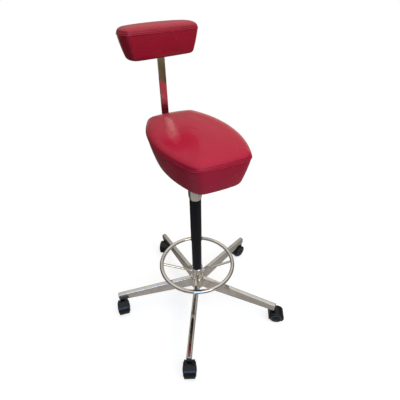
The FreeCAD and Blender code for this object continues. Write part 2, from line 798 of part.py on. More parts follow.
def spoke(index):
    """One bent spoke, from inside the collar's wall to the centre of the ring's tube."""
    body = new_body("spoke")
    start = f"({COLLAR_RADIUS} - collar_wall / 2)"
    foot = f"({HUB_TOP} + spoke_foot_rise)"
    bend = f"({HUB_TOP} + spoke_bend_rise)"
    run = f"(spoke_bend_reach - {start})"
    rise = "(spoke_bend_rise - spoke_foot_rise)"
    far_run = "(ring_diameter / 2 - spoke_bend_reach)"
    far_rise = "(ring_rise - spoke_bend_rise)"
    steep = f"atan({rise} / {run})"
    shallow = f"atan({far_rise} / {far_run})"
    setback = f"(spoke_bend_radius * tan(({steep} - {shallow}) / 2))"
    path = new_sketch(body, "spoke_path", "XZ_Plane")
    draw(path, [
        (start, foot),
        (
            f"spoke_bend_reach - {setback} * cos({steep})",
            f"{bend} - {setback} * sin({steep})",
            "-spoke_bend_radius",
        ),
        (
            f"spoke_bend_reach + {setback} * cos({shallow})",
            f"{bend} + {setback} * sin({shallow})",
        ),
        ("ring_diameter / 2", RING_LEVEL),
    ], closed=False)
    section = new_sketch(body, "spoke_section", "YZ_Plane", start)
    draw_circles(section, [("0", foot, "spoke_tube")])
    pipe = body.newObject("PartDesign::AdditivePipe", "spoke_pipe")
    pipe.Profile = section
    pipe.Spine = path
    return place(body, turn=Rotation(Z_AXIS, value(f"spoke_heading + 360 / spoke_count * {index}")))


# Seat plate on its channel, which sits on the head and holds the release lever
def plate_outline(half_across, half_up, corner):
    flat_across = f"({half_across} - {corner})"
    flat_up = f"({half_up} - {corner})"
    return [
        (f"-{flat_across}", f"-{half_up}"),
        (flat_across, f"-{half_up}", corner),
        (half_across, f"-{flat_up}"),
        (half_across, flat_up, corner),
        (flat_across, half_up),
        (f"-{flat_across}", half_up, corner),
        (f"-{half_across}", flat_up),
        (f"-{half_across}", f"-{flat_up}", corner),
    ]


def seat_bolt_places():
    across = "(plate_width / 2 - plate_side_margin)"
    along = f"({PLATE_HALF} - plate_end_margin)"
    for side in (-1, 1):
        for end in (-1, 1):
            yield f"({side} * {across})", f"({end} * {along})"


def bar_bolt_places():
    for index in range(2):
        yield f"({BAR_START} + bar_bolt_inset + {index} * bar_bolt_pitch)"


def bolt(name, head_base, shank_top, x, y):
    """A bolt pushed up from below: a round head under its seat and a plain shank."""
    head_top = f"({head_base} + bolt_head_height)"
    return turned_piece(name, [
        ("0", head_base),
        ("bolt_head / 2", head_base),
        ("bolt_head / 2", head_top),
        ("bolt_diameter / 2", head_top),
        ("bolt_diameter / 2", shank_top),
        ("0", shank_top),
    ], x=x, y=y)


def seat_plate():
    body = new_body("seat_plate")
    blank = new_sketch(body, "plate_outline", "XY_Plane", PLATE_BOTTOM)
    draw(blank, plate_outline("(plate_width / 2)", PLATE_HALF, "plate_corner"))
    pad(body, "plate_blank", blank, "plate_thickness", midplane=False)
    hole = "bolt_diameter + 2 * fit_gap"
    holes = [(x, y, hole) for x, y in seat_bolt_places()]
    holes += [("0", y, hole) for y in bar_bolt_places()]
    drill(body, "plate_holes", draw_circles(new_sketch(body, "plate_circles", "XY_Plane"), holes))
    keep(body, "seat_plate")


def seat_fasteners():
    """The bolts that hold the plate and the bar, and the nut that keeps the back's block on its pin."""
    plate_head = f"({PLATE_BOTTOM} - bolt_head_height)"
    bar_head = f"({BAR_BOTTOM} - bolt_head_height)"
    grip_top = f"({SEAT_BOTTOM} + bolt_grip)"
    fasteners = [bolt("seat_bolt", plate_head, grip_top, x, y) for x, y in seat_bolt_places()]
    fasteners += [bolt("bar_bolt", bar_head, SEAT_BOTTOM, "0", y) for y in bar_bolt_places()]
    nut = ring_outline("(back_pin / 2 + fit_gap)", "(nut_diameter / 2)", NUT_BOTTOM, PIN_TOP)
    fasteners.append(turned_piece("back_nut", nut, y=BAR_REACH))
    keep(group("seat_fastener_set", fasteners), "seat_fasteners")


def lift_channel():
    body = new_body("lift_channel")
    outside = "(channel_width / 2)"
    inside = "(channel_width / 2 - channel_wall)"
    floor = f"({HEAD_TOP} + channel_floor)"
    profile = new_sketch(body, "channel_profile", "YZ_Plane")
    draw(profile, [
        (f"-{outside}", HEAD_TOP),
        (outside, HEAD_TOP),
        (outside, PLATE_BOTTOM),
        (inside, PLATE_BOTTOM),
        (inside, floor),
        (f"-{inside}", floor),
        (f"-{inside}", PLATE_BOTTOM),
        (f"-{outside}", PLATE_BOTTOM),
    ])
    pad(body, "channel", profile, "channel_length")
    neck = [("0", "0", "cylinder_diameter + 2 * fit_gap")]
    drill(body, "cylinder_hole", draw_circles(new_sketch(body, "cylinder_circle", "XY_Plane"), neck))
    pivot = [("pivot_reach", PIVOT_LEVEL, "pivot_diameter + 2 * fit_gap")]
    drill(body, "pivot_holes", draw_circles(new_sketch(body, "pivot_circle", "XZ_Plane"), pivot))
    keep(body, "lift_channel")


def release_lever():
    along_y = Rotation(Vector(1, 0, 0), -90)
    along_x = Rotation(Vector(0, 1, 0), 90)
    boss = cylinder(
        "lever_boss_drum",
        "lever_boss",
        "lever_boss_length",
        x="pivot_reach",
        y="-lever_boss_length / 2",
        z=PIVOT_LEVEL,
        turn=along_y,
    )
    nose = doc.addObject("Part::Box", "lever_nose_bar")
    bind(nose, Length="pivot_reach + lever_nose", Width="lever_width", Height="lever_thickness")
    place(nose, x="-lever_nose", y="-lever_width / 2", z=LEVER_BOTTOM)
    rod = cylinder(
        "lever_rod_bar",
        "lever_rod",
        "lever_reach - pivot_reach",
        x="pivot_reach",
        z=PIVOT_LEVEL,
        turn=along_x,
    )
    blank = doc.addObject("Part::MultiFuse", "lever_blank")
    blank.Shapes = [boss, nose, rod]
    hole = cylinder(
        "lever_hole",
        "pivot_diameter + 2 * running_gap",
        "channel_width",
        x="pivot_reach",
        y="-channel_width / 2",
        z=PIVOT_LEVEL,
        turn=along_y,
    )
    keep(cut("lever", blank, hole), "release_lever")
    pivot = cylinder(
        "pivot",
        "pivot_diameter",
        "channel_width",
        x="pivot_reach",
        y="-channel_width / 2",
        z=PIVOT_LEVEL,
        turn=along_y,
    )
    keep(pivot, "lever_pivot")
    knob_radius = "(knob_diameter / 2)"
    knob_length = "(knob_taper + knob_grip + knob_nose)"
    socket = "(lever_rod / 2 + fit_gap)"
    knob = turned_piece("lever_knob", [
        (socket, "0"),
        ("knob_throat / 2", "0"),
        (knob_radius, "knob_taper"),
        (knob_radius, "knob_taper + knob_grip", knob_radius),
        ("knob_tip / 2", knob_length),
        ("0", knob_length),
        ("0", "knob_cover + fit_gap"),
        (socket, "knob_cover + fit_gap"),
    ], x="lever_reach - knob_cover", z=PIVOT_LEVEL, turn=along_x)
    keep(knob, "lever_knob")


# Back bar: a flat bar bolted under the seat plate, bent up behind the seat, with a flanged pin welded on top
def back_bar():
    body = new_body("back_bar")
    outer_bend = "(bar_bend + bar_thickness)"
    side = new_sketch(body, "bar_side", "YZ_Plane")
    draw(side, [
        (BAR_START, BAR_BOTTOM),
        (f"{BAR_BACK} - {outer_bend}", BAR_BOTTOM, outer_bend),
        (BAR_BACK, f"{BAR_BOTTOM} + {outer_bend}"),
        (BAR_BACK, BAR_TOP),
        (BAR_FRONT, BAR_TOP),
        (BAR_FRONT, f"{PLATE_BOTTOM} + bar_bend", "-bar_bend"),
        (f"{BAR_FRONT} - bar_bend", PLATE_BOTTOM),
        (BAR_START, PLATE_BOTTOM),
    ])
    pad(body, "bar", side, "bar_width")
    bolt_holes = [("0", y, "bolt_diameter + 2 * fit_gap") for y in bar_bolt_places()]
    drill(body, "bolt_holes", draw_circles(new_sketch(body, "bolt_circles", "XY_Plane"), bolt_holes))
    pin = turned_piece("back_pin", [
        ("0", BAR_TOP),
        ("back_pin_flange / 2", BAR_TOP),
        ("back_pin_flange / 2", FLANGE_TOP),
        ("back_pin / 2", FLANGE_TOP),
        ("back_pin / 2", PIN_TOP),
        ("0", PIN_TOP),
    ], y=BAR_REACH)
    welded = doc.addObject("Part::MultiFuse", "bar_with_pin")
    welded.Shapes = [body, pin]
    keep(welded, "back_bar")


# Block that turns on the pin, with the plywood panel screwed to its front, both at the pad's heading
def back_block():
    heading = Rotation(Z_AXIS, value("back_heading"))
    screw_level = f"({BLOCK_BOTTOM} + block_height / 2)"
    screw_reaches = [f"({end} * screw_spread / 2)" for end in (-1, 1)]
    screw_holes = [(x, screw_level, "screw_diameter + 2 * fit_gap") for x in screw_reaches]
    block = new_body("back_block")
    plan = new_sketch(block, "block_outline", "XY_Plane", BLOCK_BOTTOM)
    draw(plan, [
        ("-block_width / 2", "-block_depth / 2"),
        ("block_width / 2", "-block_depth / 2"),
        ("block_width / 2", "block_depth / 2"),
        ("-block_width / 2", "block_depth / 2"),
    ])
    pad(block, "block_blank", plan, "block_height", midplane=False)
    pin_hole = [("0", "0", "back_pin + 2 * running_gap")]
    drill(block, "pin_hole", draw_circles(new_sketch(block, "pin_circle", "XY_Plane"), pin_hole))
    drill(block, "screw_holes", draw_circles(new_sketch(block, "screw_circles", "XZ_Plane"), screw_holes))
    keep(place(block, y=BAR_REACH, turn=heading), "back_block")
    screws = []
    into_panel = heading.multiply(Rotation(Vector(1, 0, 0), 90))
    head_top = "(block_depth / 2 + screw_head_height)"
    for x in screw_reaches:
        screws.append(turned_piece(
            "back_screw",
            [
                ("0", "0"),
                ("screw_head / 2", "0"),
                ("screw_head / 2", "screw_head_height"),
                ("screw_diameter / 2", "screw_head_height"),
                ("screw_diameter / 2", "screw_length"),
                ("0", "screw_length"),
            ],
            x=f"{x} * cos(back_heading) - {head_top} * sin(back_heading)",
            y=f"{BAR_REACH} + {x} * sin(back_heading) + {head_top} * cos(back_heading)",
            z=screw_level,
            turn=into_panel,
        ))
    keep(group("back_screw_set", screws), "back_screws")
    panel = new_body("back_panel")
    face = new_sketch(panel, "panel_outline", "XZ_Plane", "block_depth / 2")
    side = "(panel_width / 2)"
    top = f"({PANEL_BOTTOM} + panel_height)"
    draw(face, [
        (f"-{side}", PANEL_BOTTOM),
        (side, PANEL_BOTTOM),
        (side, top),
        (f"-{side}", top),
    ])
    pad(panel, "panel_blank", face, "panel_thickness", midplane=False)
    drill(panel, "panel_holes", draw_circles(new_sketch(panel, "panel_circles", "XZ_Plane"), screw_holes))
    keep(place(panel, y=BAR_REACH, turn=heading), "back_panel")


# Cushions: a plan of four bowed sides with round corners, drawn in towards the bottom and crowned on top
def side_circle(first, middle, last):
    circle = Part.Arc(first, middle, last).toShape().Curve
    return circle.Center, circle.Radius


def corner_circle(one, two, radius, near):
    """Centre of the round corner inside two side circles, the crossing that lies nearer to a point."""
    gap = two[0] - one[0]
    reach_one = one[1] - radius
    reach_two = two[1] - radius
    along = (reach_one ** 2 - reach_two ** 2 + gap.Length ** 2) / (2 * gap.Length)
    off = math.sqrt(reach_one ** 2 - along ** 2)
    direction = Vector(gap).normalize()
    normal = Vector(-direction.y, direction.x, 0)
    crossings = [one[0] + direction * along + normal * off * sign for sign in (1, -1)]
    return min(crossings, key=near.distanceToPoint)


def plan_wire(plan, insets, rounding, level):
    """The plan's outline at one level, its front and back moved in by one inset and its ends by another."""
    front, back, front_half, middle_half, back_half, front_bow, back_bow = plan
    corners = [
        Vector(-front_half, -front, 0),
        Vector(front_half, -front, 0),
        Vector(back_half, back, 0),
        Vector(-back_half, back, 0),
    ]
    middles = [
        Vector(0, -front - front_bow, 0),
        Vector(middle_half, 0, 0),
        Vector(0, back + back_bow, 0),
        Vector(-middle_half, 0, 0),
    ]
    sides = []
    for index in range(4):
        centre, radius = side_circle(corners[index], middles[index], corners[(index + 1) % 4])
        sides.append((centre, radius - insets[index % 2]))
    arcs = []
    for index in range(4):
        before = sides[index - 1]
        after = sides[index]
        centre = corner_circle(before, after, rounding, corners[index])
        start = centre + (centre - before[0]).normalize() * rounding
        stop = centre + (centre - after[0]).normalize() * rounding
        outward = ((start + stop) * 0.5 - centre).normalize() * rounding
        arcs.append((start, centre + outward, stop))
    edges = []
    for index in range(4):
        start, crest, stop = arcs[index]
        following = arcs[(index + 1) % 4][0]
        edges.append(Part.Arc(start, crest, stop).toShape())
        centre, radius = sides[index]
        chord_middle = (stop + following) * 0.5
        bow = centre + (chord_middle - centre).normalize() * radius
        edges.append(Part.Arc(stop, bow, following).toShape())
    wire = Part.Wire(edges)
    wire.translate(Vector(0, 0, level))
    return wire


def cushion(plan, form, skin, round_steps=4, crown_steps=8, smallest_corner=5):
    """Loft the tapered boxing under the seam and the crowned cap above it, all set in by a skin."""
    seam, corner, boxing, depth_taper, end_taper, bottom_round, crown, edge_swell, dome_inset = form
    low = boxing - bottom_round
    rounding = corner - skin
    boxing_wires = [plan_wire(plan, (skin, skin), rounding, seam)]
    for step in range(round_steps + 1):
        turn = math.radians(90 * step / round_steps)
        rounded = bottom_round * (1 - math.cos(turn)) + skin
        insets = [taper * low / boxing + rounded for taper in (depth_taper, end_taper)]
        boxing_wires.append(plan_wire(plan, insets, rounding, seam - low - bottom_round * math.sin(turn)))
    crown_wires = []
    for step in range(crown_steps + 1):
        turn = math.radians(90 * step / crown_steps)
        inset = dome_inset * (1 - math.cos(turn)) ** edge_swell + skin
        level = seam + (crown - skin) * math.sin(turn)
        crown_wires.append(plan_wire(plan, (inset, inset), max(corner - inset, smallest_corner), level))
    halves = [Part.makeLoft(wires, True, True) for wires in (boxing_wires, crown_wires)]
    return halves[0].fuse(halves[1]).removeSplitter()


def upholstery(name, plan, form, rooms, **where):
    """A leather cover open underneath and the foam in it, with room cut out for what the foam wraps."""
    skin = value("cover_thickness")
    cover = cushion(plan, form, 0).cut(cushion(plan, form, skin))
    foam = cushion(plan, form, skin + value("foam_gap"))
    for room in rooms:
        foam = foam.cut(room)
    for label, shape in ((f"{name}_cover", cover), (f"{name}_foam", foam)):
        item = doc.addObject("Part::Feature", f"{label}_form")
        item.Shape = shape
        keep(place(item, **where), label)


def numbers(*words):
    return [value(item) for item in words]


def seat():
    plan = numbers(
        "seat_front",
        "seat_back",
        "seat_front_half",
        "seat_middle_half",
        "seat_back_half",
        "seat_front_bow",
        "seat_back_bow",
    )
    form = numbers(
        f"{SEAT_BOTTOM} + seat_boxing",
        "seat_corner",
        "seat_boxing",
        "seat_depth_taper",
        "seat_taper",
        "seat_bottom_round",
        "seat_crown",
        "seat_edge_swell",
        "seat_dome_inset",
    )
    base = value(SEAT_BOTTOM)
    insets = numbers(*(f"{taper} * (1 - seat_bottom_round / seat_boxing) + seat_bottom_round + board_margin"
                       for taper in ("seat_depth_taper", "seat_taper")))
    rounding = value("seat_corner - board_margin")
    thickness = value("board_thickness")
    board = Part.Face(plan_wire(plan, insets, rounding, base)).extrude(Vector(0, 0, thickness))
    hole_radius = value("bolt_diameter / 2 + fit_gap")
    for x, y in seat_bolt_places():
        board = board.cut(Part.makeCylinder(hole_radius, thickness, Vector(value(x), value(y), base)))
    item = doc.addObject("Part::Feature", "seat_board_form")
    item.Shape = board
    keep(item, "seat_board")
    gap = value("fit_gap")
    room_wire = plan_wire(plan, [inset - gap for inset in insets], rounding + gap, base)
    room = Part.Face(room_wire).extrude(Vector(0, 0, thickness + gap))
    upholstery("seat", plan, form, [room])


def back():
    plan = numbers(
        "back_depth_half",
        "back_depth_half",
        "back_end_half",
        "back_middle_half",
        "back_end_half",
        "back_bow",
        "back_bow",
    )
    form = numbers(
        f"{BACK_BOTTOM} + back_boxing",
        "back_corner",
        "back_boxing",
        "back_depth_taper",
        "back_taper",
        "back_bottom_round",
        "back_crown",
        "back_edge_swell",
        "back_dome_inset",
    )
    gap = value("fit_gap")
    boxes = [
        (
            numbers("-block_width / 2", "-block_depth / 2", BLOCK_BOTTOM),
            numbers("block_width / 2", "block_depth / 2 + screw_head_height", BLOCK_TOP),
        ),
        (
            numbers("-panel_width / 2", "-block_depth / 2 - panel_thickness", PANEL_BOTTOM),
            numbers("panel_width / 2", "-block_depth / 2", f"{PANEL_BOTTOM} + panel_height"),
        ),
    ]
    rooms = []
    for low, high in boxes:
        sides = [high[axis] - low[axis] + 2 * gap for axis in range(3)]
        rooms.append(Part.makeBox(*sides, Vector(*[edge - gap for edge in low])))
    pin_room = numbers("back_pin_room / 2", f"{PIN_TOP} + back_pin - {BACK_BOTTOM}", BACK_BOTTOM)
    rooms.append(Part.makeCylinder(pin_room[0], pin_room[1], Vector(0, 0, pin_room[2])))
    upholstery("back", plan, form, rooms, y=BAR_REACH, turn=Rotation(Z_AXIS, value("back_heading")))


def check_document():
    """Stop on any object that failed and any sub-part whose shape is empty or not valid."""
    for item in doc.Objects:
        if "Invalid" in item.State or "Error" in item.State:
            raise ValueError(f"{item.Label} failed: {item.State}")
    for item in pieces:
        if item.Shape.isNull() or not item.Shape.isValid() or not item.Shape.Solids:
            raise ValueError(f"{item.Label} has no valid solid")


star_base()
casters()
stand_tube()
thrust_bearing()
gas_spring()
column_sleeve()
foot_ring()
lift_channel()
seat_plate()
release_lever()
back_bar()
back_block()
seat_fasteners()
seat()
back()
doc.recompute()
check_document()
os.makedirs("parts", exist_ok=True)
for item in pieces:
    item.Shape.exportStep(f"parts/{item.Label}.step")
    print(f"{item.Label}: {len(item.Shape.Solids)} solid(s), {item.Shape.Volume / 1000:.2f} cm3")
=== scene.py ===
import json
import math

import bmesh
import bpy
from mathutils import Matrix, Vector, noise
from mathutils.bvhtree import BVHTree


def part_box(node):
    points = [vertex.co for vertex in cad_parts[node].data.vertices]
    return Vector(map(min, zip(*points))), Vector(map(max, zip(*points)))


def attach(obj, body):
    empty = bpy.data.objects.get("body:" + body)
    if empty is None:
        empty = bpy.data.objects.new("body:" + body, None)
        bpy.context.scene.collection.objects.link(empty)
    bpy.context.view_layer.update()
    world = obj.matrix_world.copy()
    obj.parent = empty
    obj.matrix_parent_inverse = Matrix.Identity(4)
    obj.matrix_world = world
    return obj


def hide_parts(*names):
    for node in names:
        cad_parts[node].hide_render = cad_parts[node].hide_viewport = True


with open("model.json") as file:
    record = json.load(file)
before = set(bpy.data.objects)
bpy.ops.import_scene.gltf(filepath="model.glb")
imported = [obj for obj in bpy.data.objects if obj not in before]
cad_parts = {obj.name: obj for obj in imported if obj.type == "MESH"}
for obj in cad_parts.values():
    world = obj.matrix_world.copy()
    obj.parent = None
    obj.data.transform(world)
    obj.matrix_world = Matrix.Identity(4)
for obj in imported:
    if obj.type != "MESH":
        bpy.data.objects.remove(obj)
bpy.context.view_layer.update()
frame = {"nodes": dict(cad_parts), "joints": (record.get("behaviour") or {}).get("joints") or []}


# Star base: one aluminium casting, a bored hub with five tapering arms, ground flat and polished to a mirror.
# The tops are buffed along the arms, the sides keep a little of the casting's grain.
class Shade:
    """One output of a finish's nodes. Sums, products and powers of shades add Math nodes."""

    def __init__(self, tree, socket=None):
        self.tree = tree
        self.socket = socket

    def node(self, kind, settings=None, sockets=None, out=0):
        """Add a node: its settings first, then the value or the link of each socket that is named."""
        made = self.tree.nodes.new("ShaderNode" + kind)
        for name, setting in (settings or {}).items():
            if name == "stops":
                stops = made.color_ramp.elements
                for index, (position, colour) in enumerate(setting):
                    stop = stops[index] if index < len(stops) else stops.new(position)
                    stop.position = position
                    stop.color = colour
            else:
                setattr(made, name, setting)
        for name, given in (sockets or {}).items():
            if isinstance(given, Shade):
                self.tree.links.new(given.socket, made.inputs[name])
            else:
                made.inputs[name].default_value = given
        return Shade(self.tree, made.outputs[out] if made.outputs else None)

    def maths(self, operation, first, second):
        return self.node("Math", {"operation": operation}, {0: first, 1: second})

    def __add__(self, other):
        return self.maths("ADD", self, other)

    def __sub__(self, other):
        return self.maths("SUBTRACT", self, other)

    def __rsub__(self, other):
        return self.maths("SUBTRACT", other, self)

    def __mul__(self, other):
        return self.maths("MULTIPLY", self, other)

    def __truediv__(self, other):
        return self.maths("DIVIDE", self, other)

    def __pow__(self, other):
        return self.maths("POWER", self, other)

    __radd__ = __add__
    __rmul__ = __mul__


def new_finish(name):
    """An empty material, the shade that its nodes start from, and its place in the piece's own metres."""
    material = bpy.data.materials.new(name)
    material.use_nodes = True
    material.node_tree.nodes.clear()
    paint = Shade(material.node_tree)
    return material, paint, paint.node("TexCoord", out="Object")


def stretched(paint, place, scale, turn=(0, 0, 0)):
    return paint.node("Mapping", {}, {"Vector": place, "Scale": scale, "Rotation": turn})


def speckle(paint, place, scale, detail=3, roughness=0.5):
    sockets = {"Vector": place, "Scale": scale, "Detail": detail, "Roughness": roughness}
    return paint.node("TexNoise", {}, sockets)


def ease(paint, value, low, high, start=0, stop=1):
    """Carry a value smoothly from one range to another."""
    return paint.node(
        "MapRange",
        {"interpolation_type": "SMOOTHSTEP"},
        {0: value, 1: low, 2: high, 3: start, 4: stop},
    )


def blend(paint, share, first, second):
    return paint.node("Mix", {"data_type": "RGBA"}, {0: share, 6: first, 7: second}, out=2)


def rgb(red, green, blue):
    return red, green, blue, 1


def finished(material, paint, sockets, height=None, depth=0):
    """End a finish with its surface; a height gives it a bump of that many metres."""
    if height is not None:
        bump = paint.node("Bump", {}, {"Height": height, "Distance": depth, "Strength": 1})
        sockets = {**sockets, "Normal": bump}
    surface = paint.node("BsdfPrincipled", {}, sockets)
    paint.node("OutputMaterial", {}, {"Surface": surface})
    return material


def dress(material, *nodes):
    for node in nodes:
        frame["nodes"][node].material_slots[0].material = material


def polished_arm_finish():
    material, paint, place = new_finish("polished_aluminium")
    facing = paint.node("NewGeometry", out="Normal")
    upright = paint.node("SeparateXYZ", {}, {0: facing}, out="Z")
    side = 1 - ease(paint, upright * upright, 0.2, 0.8)
    haze = ease(paint, speckle(paint, place, 26, 5, 0.6), 0.35, 0.75)
    grain = speckle(paint, place, 520, 2)
    scuff = ease(paint, speckle(paint, stretched(paint, place, (300, 300, 60)), 1, 4, 0.7), 0.62, 0.74)
    colour = blend(paint, haze, rgb(0.80, 0.775, 0.74), rgb(0.70, 0.67, 0.63))
    colour = blend(paint, scuff * 0.35, colour, rgb(0.56, 0.53, 0.49))
    return finished(material, paint, {
        "Base Color": colour,
        "Metallic": 1,
        "Roughness": 0.07 + haze * 0.06 + side * 0.10 + scuff * 0.10,
    }, grain * side, 0.00005)


dress(polished_arm_finish(), "star_base")


# Casters: a steel stem and axle, a black moulded hood with a central web, and two wheels of harder plastic.
# Each wheel is a dome in a raised ring painted light blue-grey as a painted highlight; its tread picks up
# grey floor dust.
HOOD_BLACK = rgb(0.0045, 0.0047, 0.0055)
WHEEL_BLACK = rgb(0.005, 0.0053, 0.0065)
RING_HIGHLIGHT_GREY = rgb(0.085, 0.090, 0.105)
TREAD_GREY = rgb(0.018, 0.018, 0.0185)
FLOOR_DUST = rgb(0.16, 0.15, 0.14)
axle_low, axle_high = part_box("caster_front_axle")
WHEEL_RADIUS = (axle_low.z + axle_high.z) / 2
TREAD_START = WHEEL_RADIUS - 0.0012
TREAD_EDGE = 0.0005
RING_START = WHEEL_RADIUS - 0.0090
RING_STOP = WHEEL_RADIUS - 0.0058
RING_EDGE = 0.0003
RING_FADE = 0.0008


def hood_finish():
    material, paint, place = new_finish("hood_plastic")
    height = paint.node("SeparateXYZ", {}, {0: place}, out="Z")
    pebble = paint.node("TexVoronoi", {}, {"Vector": place, "Scale": 900})
    rub = ease(paint, speckle(paint, place, 60, 5, 0.65), 0.45, 0.75)
    dust = ease(paint, height, 0.030, 0.012) * ease(paint, speckle(paint, place, 140, 4, 0.6), 0.4, 0.7)
    colour = blend(paint, rub * 0.4, HOOD_BLACK, rgb(0.014, 0.0145, 0.017))
    colour = blend(paint, dust * 0.12, colour, FLOOR_DUST)
    return finished(material, paint, {
        "Base Color": colour,
        "Roughness": 0.22 + rub * 0.12 + dust * 0.2,
        "Specular IOR Level": 0.4,
    }, pebble, 0.00003)


def wheel_finish(side, end):
    """A wheel's finish in zones round its own axle, which the joint gives."""
    spin = next(joint for joint in frame["joints"] if joint["name"] == f"wheel_{side}_{end}_spin")
    turn = Vector(spin["axis"]).to_track_quat("Z", "Y").to_euler()
    material, paint, place = new_finish(f"wheel_plastic_{side}_{end}")
    local = paint.node(
        "Mapping",
        {"vector_type": "TEXTURE"},
        {"Vector": place, "Location": spin["pos_m"], "Rotation": turn},
    )
    across = paint.node("SeparateXYZ", {}, {0: local}, out="X")
    up = paint.node("SeparateXYZ", {}, {0: local}, out="Y")
    radius = (across * across + up * up) ** 0.5
    past_ring = ease(paint, radius, RING_STOP, RING_STOP + RING_FADE)
    ring = ease(paint, radius, RING_START - RING_EDGE, RING_START) - past_ring
    tread = ease(paint, radius, TREAD_START - TREAD_EDGE, TREAD_START)
    mottle = ease(paint, speckle(paint, local, 90, 5, 0.65), 0.4, 0.72)
    colour = blend(paint, mottle * 0.4, WHEEL_BLACK, rgb(0.014, 0.0145, 0.018))
    # Painted highlight: the raised ring is lifted to a lighter blue-grey in place of its highlight.
    colour = blend(paint, ring, colour, RING_HIGHLIGHT_GREY)
    colour = blend(paint, tread, colour, TREAD_GREY)
    colour = blend(paint, tread * mottle * 0.3, colour, FLOOR_DUST)
    grain = speckle(paint, local, 1100, 2)
    return finished(material, paint, {
        "Base Color": colour,
        "Roughness": 0.24 + mottle * 0.12 + ring * 0.12 + tread * 0.2,
        "Specular IOR Level": 0.4,
    }, grain * (0.3 + tread), 0.00004)


def turned_steel_finish():
    material, paint, place = new_finish("turned_steel")
    lines = speckle(paint, stretched(paint, place, (40, 40, 2600)), 1, 2)
    stain = ease(paint, speckle(paint, place, 70, 4, 0.6), 0.45, 0.75)
    return finished(material, paint, {
        "Base Color": blend(paint, stain, rgb(0.58, 0.58, 0.58), rgb(0.47, 0.45, 0.43)),
        "Metallic": 1,
        "Roughness": 0.24 + lines * 0.14 + stain * 0.12,
    }, lines, 0.00004)


CASTERS = ("left", "front", "right", "rear_right", "rear_left")
hood_plastic = hood_finish()
turned_steel = turned_steel_finish()
for side in CASTERS:
    dress(hood_plastic, f"caster_{side}_hood")
    dress(turned_steel, f"caster_{side}_stem", f"caster_{side}_axle")
    for end in ("inner", "outer"):
        dress(wheel_finish(side, end), f"caster_{side}_wheel_{end}")


# Column: a stand tube pressed into the hub and the wider sleeve that slides over it, in satin black enamel.
# The sleeve leaves faint upright rub marks on the tube.
def black_enamel_finish():
    material, paint, place = new_finish("black_enamel")
    peel = speckle(paint, place, 420, 2)
    rubbed = ease(paint, speckle(paint, stretched(paint, place, (260, 260, 7)), 1, 4, 0.6), 0.5, 0.72)
    cloud = speckle(paint, place, 12, 4)
    colour = blend(paint, cloud, rgb(0.0045, 0.0048, 0.0075), rgb(0.0075, 0.008, 0.012))
    colour = blend(paint, rubbed * 0.3, colour, rgb(0.020, 0.021, 0.027))
    return finished(material, paint, {
        "Base Color": colour,
        "Roughness": 0.26 + cloud * 0.08 + rubbed * 0.1,
        "Specular IOR Level": 0.2,
    }, peel, 0.00002)


black_enamel = black_enamel_finish()
dress(black_enamel, "stand_tube", "column_sleeve")


# Gas spring and thrust bearing in the column: turned steel, a brass ball cage, plastic guides, a rubber seal.
# The balls and races are hardened and ground bright.
def guide_plastic_finish():
    material, paint, place = new_finish("guide_plastic")
    cloud = speckle(paint, place, 45, 4)
    lines = speckle(paint, stretched(paint, place, (60, 60, 1500)), 1, 2)
    return finished(material, paint, {
        "Base Color": blend(paint, cloud, rgb(0.76, 0.75, 0.71), rgb(0.66, 0.65, 0.60)),
        "Roughness": 0.46 + cloud * 0.12,
    }, lines, 0.00005)


def brass_finish():
    material, paint, place = new_finish("cage_brass")
    tarnish = ease(paint, speckle(paint, place, 240, 5, 0.6), 0.4, 0.7)
    return finished(material, paint, {
        "Base Color": blend(paint, tarnish, rgb(0.74, 0.56, 0.25), rgb(0.50, 0.36, 0.15)),
        "Metallic": 1,
        "Roughness": 0.22 + tarnish * 0.2,
    }, tarnish, 0.00003)


def rubber_finish():
    material, paint, place = new_finish("seal_rubber")
    bloom = ease(paint, speckle(paint, place, 300, 4, 0.6), 0.4, 0.75)
    return finished(material, paint, {
        "Base Color": blend(paint, bloom, rgb(0.022, 0.022, 0.023), rgb(0.05, 0.05, 0.052)),
        "Roughness": 0.6 + bloom * 0.2,
    }, bloom, 0.00005)


guide_plastic = guide_plastic_finish()
dress(guide_plastic, "guide_bush", "rod_guide", "piston")
dress(brass_finish(), "ball_cage")
dress(rubber_finish(), "piston_seal")
dress(
    turned_steel,
    "piston_rod",
    "retaining_clip",
    "gas_cylinder",
    "release_pin",
    "lower_race",
    "upper_race",
    "thrust_balls",
)


# Foot ring: a rolled steel tube, four bent spokes and a collar with a grub screw, chromed together.
# The same bright chrome is on the ovoid head under the seat; its top wears to fine scratches under shoes.
def chrome_finish():
    material, paint, place = new_finish("chrome")
    facing = paint.node("NewGeometry", out="Normal")
    upright = paint.node("SeparateXYZ", {}, {0: facing}, out="Z")
    smear = ease(paint, speckle(paint, place, 20, 5, 0.6), 0.4, 0.75)
    scratch = ease(paint, speckle(paint, stretched(paint, place, (420, 420, 90)), 1, 3, 0.7), 0.60, 0.72)
    worn = scratch * ease(paint, upright, 0.1, 0.9)
    pit = ease(paint, speckle(paint, place, 800, 2), 0.70, 0.78)
    colour = blend(paint, smear, rgb(0.81, 0.79, 0.76), rgb(0.72, 0.69, 0.65))
    colour = blend(paint, pit * 0.4, colour, rgb(0.40, 0.37, 0.33))
    return finished(material, paint, {
        "Base Color": colour,
        "Metallic": 1,
        "Roughness": 0.05 + smear * 0.05 + worn * 0.14,
    }, speckle(paint, place, 60, 2) - worn * 0.2, 0.00004)


chrome = chrome_finish()
dress(chrome, "foot_ring", "foot_ring_spokes", "foot_collar", "seat_head")
dress(turned_steel, "collar_set_screw")


